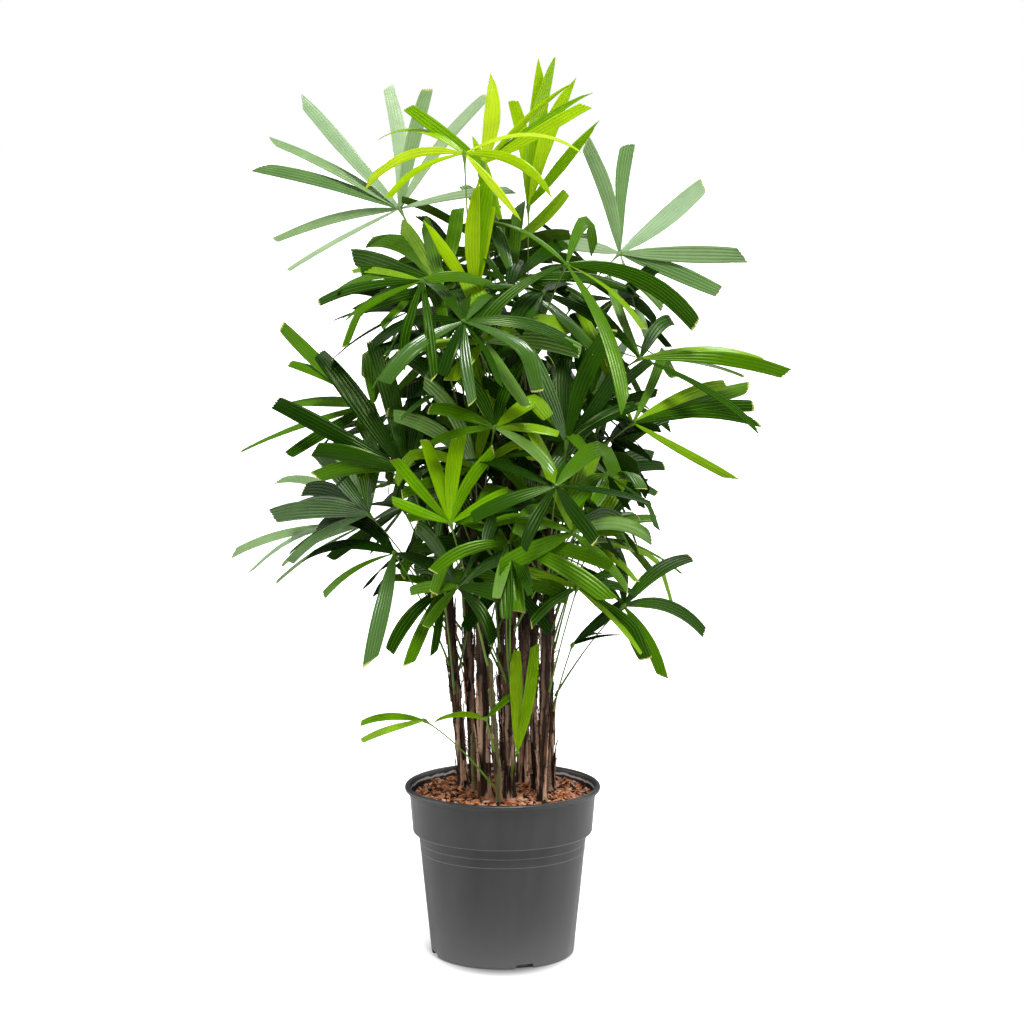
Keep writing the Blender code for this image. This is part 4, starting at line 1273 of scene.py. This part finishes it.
# %% Rows for the inner fans
INNER_FANS = 84
INNER_CANES = ("cane_front", "cane_front_left", "cane_tall", "cane_slim", "cane_right_slim",
               "cane_right", "cane_back_left", "cane_right_back", "cane_left", "cane_back_right")
INNER_LOW = 0.54
INNER_HIGH = 0.97
INNER_OVER_CANE = 0.06
INNER_STALK = 0.15
INNER_AWAY = (0.05, 0.15)
INNER_REACH = (0.11, 0.17)
INNER_WIDTH = (0.016, 0.026)
INNER_DROOP = (0.3, 0.8)
INNER_FACE_UP = (25, 70)
GOLDEN_ANGLE = 137.5
INNER_HEADINGS = (-130, -92, -56, -20, 18, 54, 90, 128)
HEADING_SPREAD = 8
# Mostly the dark tone: partly deep green, partly painted shade inside the crown.
INNER_TONES = ("dark", "dark", "dark", "dark", "mid", "mid")
canes = {cane.name: cane for cane in CANES}


def inner_fan(number):
    """A row for one fan inside the crown."""
    chance = random.Random(f"inner fan {number}")
    cane = canes[INNER_CANES[number % len(INNER_CANES)]]
    height = INNER_LOW + (INNER_HIGH - INNER_LOW) * (number * 7 % INNER_FANS) / INNER_FANS
    height = min(height, cane.top[2] + INNER_OVER_CANE)
    turn = (number * GOLDEN_ANGLE) % 360
    away = chance.uniform(*INNER_AWAY)
    axis = cane_centre(cane, min(1.0, (height - CANE_FOOT) / (cane.top[2] - CANE_FOOT)))
    hub = (axis.x + away * math.sin(math.radians(turn)), axis.y - away * math.cos(math.radians(turn)),
           height)
    headings = [seen + chance.uniform(-HEADING_SPREAD, HEADING_SPREAD) for seen in INNER_HEADINGS]
    face = (turn, chance.uniform(*INNER_FACE_UP))
    return Frond(f"inner_{number}", cane.name, height - INNER_STALK, hub, face,
                 chance.uniform(*INNER_REACH), chance.uniform(*INNER_WIDTH),
                 chance.uniform(*INNER_DROOP), chance.choice(INNER_TONES), headings)


CREST_ROWS = [in_metres(*row) for row in (
    ("crest_back", "slim", 840, (25, 50, 1045), (0, 8), 150, 20, 0.1, "lime", (-30, -16, -4, 8, 20, 34)),
    ("crest_middle", "tall", 820, (5, 25, 975), (5, 10), 165, 20, 0.12, "lime", (-34, -20, -6, 8, 22, 40)),
    ("crest_left", "front_left", 780, (-55, 10, 985), (-10, 10), 130, 18, 0.15, "lime",
     (-48, -30, -12, 10)),
)]
INNER_ROWS = CREST_ROWS + [inner_fan(number) for number in range(INNER_FANS)]
print(len(INNER_ROWS), "inner fans")

# %% Settle every stalk and leaflet


def corners(points):
    """Lowest and highest corner of a core."""
    return [[pick(p[i] for p in points) for i in range(3)] for pick in (min, max)]


class Space:
    """What stands already, so that the next core can be kept clear of it."""

    def __init__(self):
        self.pieces = []

    def add(self, owner, points, faces):
        """Remember a core and the fan that it belongs to."""
        self.pieces.append((owner, *corners(points), BVHTree.FromPolygons(points, faces)))

    def free(self, owner, points, faces):
        """Whether a core clears all that isn't its owner's."""
        low, high = corners(points)
        tree = None
        for other, other_low, other_high, other_tree in self.pieces:
            if other == owner or any(low[i] > other_high[i] or high[i] < other_low[i] for i in range(3)):
                continue
            tree = tree or BVHTree.FromPolygons(points, faces)
            if tree.overlap(other_tree):
                return False
        return True


def settle_stalk(frond, bark, space):
    """The first way up for a stalk that touches nothing, or None."""
    for raise_by in STALK_RAISES:
        for sway in STALK_SWAYS:
            ends = seated_stalk(frond, canes[frond.cane], bark, raise_by, sway)
            if space.free(frond.name, *stalk_core(ends, STALK_CLEAR)):
                return ends
    return None


def settle_leaf(frond, normal, leaf, space):
    """The first shape of a leaflet that touches no other fan, or None."""
    seen, length, width, roll = leaf
    for shorter in LEAF_CUTS:
        for turn, lift in LEAF_SHIFTS:
            shape = (Vector(frond.hub), normal, heading_of(normal, seen + turn), length * shorter,
                     width, frond.droop + lift, roll)
            core, wide = leaf_core(*shape)
            if space.free(frond.name, *wide):
                space.add(frond.name, *core)
                return shape
    return None


space = Space()
barks = {}
for cane in CANES:
    mesh = solids[cane.name].data
    surface = ([v.co.copy() for v in mesh.vertices], [tuple(p.vertices) for p in mesh.polygons])
    barks[cane.name] = BVHTree.FromPolygons(*surface)
    space.add(cane.name, *surface)
stalks = {}
leaflets = {}
for rows in (FRONDS, INNER_ROWS):
    for frond in rows:
        ends = settle_stalk(frond, barks[frond.cane], space)
        if ends is None or not space.free(frond.name, *knuckle(frond)):
            print("no way up for", frond.name)
            continue
        space.add(frond.name, *stalk_core(ends))
        space.add(frond.name, *knuckle(frond))
        stalks[frond.name] = ends
    for frond in rows:
        if frond.name in stalks:
            shapes = [settle_leaf(frond, face_normal(frond), leaf, space) for leaf in leaf_plan(frond)]
            leaflets[frond.name] = [shape for shape in shapes if shape is not None]
ALL_ROWS = [frond for frond in (*FRONDS, *INNER_ROWS) if frond.name in stalks]
print(len(stalks), "stalks and", sum(len(shapes) for shapes in leaflets.values()), "leaflets settled")

# %% [markdown]
# ## Leaf colours
# New fans at the top are lime, older ones deep green, and some look grey-green where their
# gloss catches the sky; that grey-green tone is a painted sheen, a green paled to stand in for
# the sky's reflection. Such colours have a place on the plant but none on a single leaflet, so
# they are dealt out leaflet by leaflet as plain base colours. Each tone has four shades, a rib
# colour and a duller underside, and the cut tips of some older leaflets are dry and straw-coloured.
# Of the four shades, the deep one is partly painted shade, the bright one partly a painted
# highlight and the fourth, sheen, a painted sheen of the sky. Deep green leaves stay green in
# their gloss, so that gloss is tinted, and only the sheen shade of each tone shines white.
# A new leaf is thin enough to glow when lit from behind, which a little subsurface light gives.

# %% Leaf finishes
# Each row: blade, deep, bright, sheen, rib and underside. Deep is partly painted shade, bright partly a
# painted highlight, sheen a painted sheen of the sky; the first, grey-green tone is green paled by painted
# sheen.
TONES = {
    "dusty": ((0.200, 0.320, 0.130), (0.100, 0.200, 0.055), (0.310, 0.430, 0.240),
              (0.260, 0.400, 0.200), (0.250, 0.390, 0.175), (0.200, 0.300, 0.150)),
    "lime": ((0.310, 0.500, 0.003), (0.140, 0.320, 0.001), (0.440, 0.600, 0.015),
             (0.240, 0.440, 0.002), (0.230, 0.410, 0.002), (0.290, 0.450, 0.010)),
    "mid": ((0.056, 0.154, 0.001), (0.014, 0.056, 0.001), (0.175, 0.335, 0.004),
            (0.118, 0.245, 0.030), (0.088, 0.220, 0.002), (0.085, 0.180, 0.010)),
    # dark: deep green, darkened further as painted shade for the crown's inside
    "dark": ((0.017, 0.062, 0.001), (0.007, 0.031, 0.001), (0.056, 0.150, 0.002),
             (0.046, 0.126, 0.010), (0.023, 0.074, 0.001), (0.028, 0.075, 0.005)),
    "young": ((0.220, 0.440, 0.002), (0.110, 0.280, 0.001), (0.320, 0.540, 0.008),
              (0.240, 0.440, 0.012), (0.240, 0.460, 0.003), (0.200, 0.360, 0.010)),
}
GREEN_GLOSS = (0.75, 1.0, 0.40)
WHITE_GLOSS = (1.0, 1.0, 1.0)
# bright is partly a painted highlight and deep partly painted shade, lit and shaded copies of each tone;
# sheen is a painted sheen
LEAF_PARTS = (("blade", (0.18, 0.30), 0.14, GREEN_GLOSS), ("deep", (0.22, 0.34), 0.08, GREEN_GLOSS),
              ("bright", (0.20, 0.32), 0.22, GREEN_GLOSS), ("sheen", (0.18, 0.30), 0.42, WHITE_GLOSS),
              ("rib", (0.26, 0.38), 0.14, GREEN_GLOSS), ("under", (0.50, 0.64), 0.08, GREEN_GLOSS))
SHADE_SHARES = (5, 5, 3, 2)
TIP_TINTS = ((0.42, 0.42, 0.12), (0.19, 0.12, 0.045))
GLOW_SHARES = {"lime": 0.2, "young": 0.12}
GLOW_REACH = 0.0012
GLOW_COLOURS = (0.8, 1.0, 0.15)
LEAF_FLECK = 0.70


def leaf_finish(name, colour, roughness, gloss, tint, glow=0.0):
    """Leaf skin: smooth, faintly mottled, with a fine grain and a little light from within."""
    deeper = tuple(LEAF_FLECK * part for part in colour)
    made = finish(name, colour, deeper, 0.5, (55, 55, 55), roughness, (150, 150, 150), 0.04,
                  specular=gloss)
    feed(shader_of(made), {"Specular Tint": (*tint, 1)})
    if glow:
        feed(shader_of(made), {"Subsurface Weight": glow, "Subsurface Radius": GLOW_COLOURS,
                               "Subsurface Scale": GLOW_REACH})
    return made


tip_looks = [leaf_finish(f"dry_tip_{i}", tint, (0.6, 0.8), 0.25, GREEN_GLOSS)
             for i, tint in enumerate(TIP_TINTS)]
leaf_looks = {}
for tone, colours in TONES.items():
    glow = GLOW_SHARES.get(tone, 0.0)
    leaf_looks[tone] = [leaf_finish(f"{tone}_{part}", colour, roughness, gloss, tint, glow)
                        for colour, (part, roughness, gloss, tint) in zip(colours, LEAF_PARTS)]
    leaf_looks[tone] += tip_looks
print(sum(len(looks) for looks in leaf_looks.values()), "leaf finishes")

# %% [markdown]
# ## A pleated leaflet
# Each leaflet is a strip with two to six pleats. A pleat folds up to a raised rib and down
# again, and the strip ends bluntly: every pleat has its own short tooth, as if cut with pinking
# shears. New leaves end in a point. The blade is a closed shell half a millimetre thick, bowed
# across its width. No two leaflets of a real fan lie in one plane, so each leans out of the fan,
# twists and curves by its own amount, and a few are broken over near the tip and hang down.
# In three fans the leaflets that stand out in the photograph have a size of their own.

# %% Shape of a blade
PLEAT_WIDTH = 0.0040
PLEATS = (2, 6)
PLEAT_DEPTH = 0.00060
PLEATS_AT_HUB = 0.4
PLEATS_GROW = 2
PLEATS_BY_WIDTH = 1.4
RIB_SHARE = 0.09
RIB_RISE = 0.00016
BLADE = 0.00045
ROWS_AT = (0.0, 0.04, 0.10, 0.18, 0.27, 0.37, 0.47, 0.57, 0.67, 0.76, 0.84, 0.91, 0.955, 0.985, 1.0)
BLUNT = ((0.0, 0.06, 0.2, 0.4, 0.62, 0.82, 0.955, 1.0),
         (0.20, 0.38, 0.76, 1.02, 1.16, 1.10, 0.97, 0.90))
POINTED = ((0.0, 0.06, 0.2, 0.45, 0.65, 0.85, 0.955, 1.0),
           (0.22, 0.42, 0.84, 1.12, 1.05, 0.66, 0.34, 0.16))
POINTED_SHARE = 0.7
TOOTH_FROM = 0.93
TOOTH_DEPTH = (0.0, 0.012)
SLANT = 0.06
TIP_ROUND = 0.006
LEAN_OUT = (-0.22, 0.22)
SHORT_SHARE = 0.35
SHORT_BY = (0.68, 0.92)
SAG_SPREAD = (-0.12, 0.22)
BOW = (-0.10, 0.24)
SIDEWAYS = 0.05
TWIST = 42
TWIST_FROM = 0.3
EXTRA_ROLL = 24
BROKEN_SHARE = 0.10
BROKEN_FROM = 0.60
BROKEN_DROP = 1.6
BROKEN_OVER = 3


def pleat_lines(pleats):
    """Place across and height (0 fold, 1 rib) of each line of points along a blade."""
    lines = [(-1.0, 0.0)]
    for k in range(pleats):
        left = -1 + 2 * k / pleats
        right = -1 + 2 * (k + 1) / pleats
        middle = (left + right) / 2
        rib = (right - left) * RIB_SHARE / 2
        lines += [(middle - rib, 1.0), (middle + rib, 1.0), (right, 0.0)]
    return lines


def at_rows(line):
    """A line of points or headings, read at each row of a blade."""
    marks = np.linspace(0.0, 1.0, len(line))
    return [Vector(v) for v in zip(*(np.interp(ROWS_AT, marks, axis) for axis in zip(*line)))]


def rib_line(hub, heading, length, droop, broken):
    """Points and headings of a leaflet's rib at each row."""
    points, headings = leaf_curve(hub, heading, length, droop)
    bent = int(BROKEN_FROM * CURVE_STEPS) if broken else CURVE_STEPS + 1
    for step in range(bent, CURVE_STEPS + 1):
        drop = BROKEN_DROP * min(1.0, (step - bent) / BROKEN_OVER)
        headings[step] = (headings[step] - Vector((0.0, 0.0, drop))).normalized()
        onward = (headings[step - 1] + headings[step]).normalized()
        points[step] = points[step - 1] + onward * length / CURVE_STEPS
    return at_rows(points), [heading.normalized() for heading in at_rows(headings)]


def face_kinds(columns, count):
    """The kind of each face of a blade's shell: top and underside in turn, then the edges."""
    kinds = []
    for r in range(len(ROWS_AT) - 1):
        for c in range(columns - 1):
            kind = "rib" if c % 3 == 1 else "blade"
            kinds += ["tip" if r == len(ROWS_AT) - 2 else kind, "under"]
    return kinds + ["blade"] * (count - len(kinds))


def blade(shape, tone, chance, unrest):
    """Points, faces and the kind of each face of one pleated leaflet."""
    hub, normal, heading, length, width, droop, roll = shape
    heading = (heading + normal * chance.uniform(*LEAN_OUT) * unrest).normalized()
    droop += chance.uniform(*SAG_SPREAD)
    if tone in ("mid", "dark") and chance.random() < SHORT_SHARE * unrest:
        length *= chance.uniform(*SHORT_BY)
    broken = tone in ("mid", "dark") and chance.random() < BROKEN_SHARE * unrest
    points, headings = rib_line(hub, heading, length, droop, broken)
    pleats = max(PLEATS[0], min(PLEATS[1], round(width / PLEAT_WIDTH)))
    lines = pleat_lines(pleats)
    outline = POINTED if tone == "lime" and chance.random() < POINTED_SHARE else BLUNT
    bow = chance.uniform(*BOW)
    roll = unrest * (roll + math.radians(chance.uniform(-EXTRA_ROLL, EXTRA_ROLL)))
    twist = unrest * math.radians(chance.uniform(-TWIST, TWIST))
    sideways = chance.uniform(-SIDEWAYS, SIDEWAYS) * length
    slant = chance.uniform(-SLANT, SLANT)
    teeth = [chance.uniform(*TOOTH_DEPTH) for _ in range(pleats + 1)]
    top = np.zeros((len(ROWS_AT), len(lines), 3))
    bottom = np.zeros_like(top)
    for r, t in enumerate(ROWS_AT):
        side, lifted = leaf_side(normal, headings[r], roll + twist * (t - TWIST_FROM))
        share = float(np.interp(t, *outline))
        half = width * share / 2
        middle = points[r] + side * sideways * math.sin(math.pi * t)
        depth = PLEAT_DEPTH * min(1.0, PLEATS_AT_HUB + PLEATS_GROW * t)
        depth *= min(1.0, share * PLEATS_BY_WIDTH)
        late = max(0.0, (t - TOOTH_FROM) / (1 - TOOTH_FROM))
        for c, (across, up) in enumerate(lines):
            fold = up * (depth + RIB_RISE) + bow * half * (1 - across * across)
            back = slant * across + TIP_ROUND * across * across
            back += teeth[round((across + 1) / 2 * pleats)] if up == 0.0 else 0.0
            pulled = middle - headings[r] * (back * length * late) + side * (half * across)
            top[r, c] = pulled + lifted * (fold + BLADE / 2)
            bottom[r, c] = pulled + lifted * (fold - BLADE / 2)
    made, faces = shell(top, bottom)
    return made, faces, face_kinds(len(lines), len(faces))


print("a blade has", len(ROWS_AT), "rows of points and up to", len(pleat_lines(PLEATS[1])), "across")

# %% Blades of every fan
OwnLeaf = namedtuple("OwnLeaf", "heading reach length width unrest")
OWN_LEAVES = {"centre_low": OwnLeaf(180, 30, 0.74, 1.0, 1.0),
              "grey_top": OwnLeaf(15, 14, 0.77, 1.0, 1.0),
              "left_low": OwnLeaf(-163, 12, 1.0, 1.12, 0.1)}
DRY_SHARES = {"lime": 0.0, "young": 0.25, "mid": 0.4, "dark": 0.4, "dusty": 0.3}
BROWN_TIP_SHARE = 0.25
RIB = 4
UNDER = 5
DRY_TIP = 6


def own_shape(name, shape):
    """A leaflet's shape and unrest, changed where the photograph shows a leaflet of its own."""
    hub, normal, heading, length, width, droop, roll = shape
    own = OWN_LEAVES.get(name)
    seen = math.degrees(math.atan2(heading.x, heading.z))
    if own is None or abs((seen - own.heading + 180) % 360 - 180) > own.reach:
        return shape, 1.0
    return (hub, normal, heading, length * own.length, width * own.width, droop, roll), own.unrest


leaf_heaps = {tone: Heap(f"leaves_{tone}") for tone in TONES}
inner_heaps = {tone: Heap(f"inner_leaves_{tone}") for tone in ("dark", "lime", "mid")}
for frond in ALL_ROWS:
    chance = random.Random("blades of " + frond.name)
    heaps = inner_heaps if frond in INNER_ROWS else leaf_heaps
    for shape in leaflets[frond.name]:
        shape, unrest = own_shape(frond.name, shape)
        points, faces, kinds = blade(shape, frond.tone, chance, unrest)
        # a shade at random, among them the painted highlight, painted shade and painted sheen
        tint = chance.choices(range(len(SHADE_SHARES)), SHADE_SHARES)[0]
        dry = chance.random() < DRY_SHARES[frond.tone]
        tip = DRY_TIP + (chance.random() < BROWN_TIP_SHARE) if dry else tint
        finishes = {"blade": tint, "rib": RIB, "under": UNDER, "tip": tip}
        heaps[frond.tone].add(points, faces, [finishes[kind] for kind in kinds])
for tone, heap in leaf_heaps.items():
    covered = [f"frond_{frond.name}" for frond in FRONDS if frond.tone == tone]
    heap.piece(leaf_looks[tone], f"leaf_{tone}", covered)
for tone, heap in inner_heaps.items():
    heap.piece(leaf_looks[tone], f"leaf_{tone}")

# %% [markdown]
# ## Stalks
# Each fan stands on a thin, stiff, round stalk that leaves its cane in a clasping sheath and
# swells a little where the leaflets meet. The path is the one settled above, with more points.

# %% Stalks and hubs
FINE_POINTS = 18
FINE_SIDES = 8
STALK_FOOT = 0.0017
STALK_NECK = 0.0010
STALK_TAPER = 2.5
NECK_SWELL = 1.4
HUB_SWELL = 0.0034
HUB_TIP = 0.5
HUB_LENGTH = 0.004
CLASP_LENGTH = 0.045
CLASP_BELOW = 0.7
LOWEST_CLASP = 0.01

stalk_heap = Heap("stalks")
clasp_heap = Heap("clasping_sheaths")
for frond in ALL_ROWS:
    chance = random.Random("stalk of " + frond.name)
    start, middle, hub = stalks[frond.name]
    cane = canes[frond.cane]
    path = bend(start, middle, hub, FINE_POINTS)
    path.append(hub + (path[-1] - path[-2]).normalized() * HUB_LENGTH)
    shares = [i / (FINE_POINTS - 1) for i in range(FINE_POINTS)]
    radii = [STALK_FOOT + (STALK_NECK - STALK_FOOT) * min(1.0, STALK_TAPER * t) for t in shares]
    radii[-2:] = [STALK_NECK * NECK_SWELL, HUB_SWELL, HUB_SWELL * HUB_TIP]
    stalk_heap.add(*tube(path, radii, FINE_SIDES), int(frond.tone in ("lime", "young")))
    height = start.z - CANE_FOOT - CLASP_LENGTH * CLASP_BELOW
    if height > LOWEST_CLASP:
        share = max(LOWEST_SEAT, height / (cane.top[2] - CANE_FOOT))
        centre, _, across, other = cane_frame(cane, share)
        out = start - centre
        clasp_heap.add(*tongue(cane, height, math.atan2(out.dot(other), out.dot(across)), chance))
stalk_looks = [finish(name, colour, fleck, 0.6, (60, 60, 20), (0.35, 0.5), (400, 400, 60), 0.15,
                      specular=0.3)
               for name, colour, fleck in (("stalk_green", (0.115, 0.225, 0.015), (0.045, 0.100, 0.008)),
                                           ("stalk_lime", (0.15, 0.28, 0.02), (0.08, 0.17, 0.015)))]
stalk_heap.piece(stalk_looks, "leaf_mid")
clasp_heap.piece([sheath_looks[1]], "cane_sheath")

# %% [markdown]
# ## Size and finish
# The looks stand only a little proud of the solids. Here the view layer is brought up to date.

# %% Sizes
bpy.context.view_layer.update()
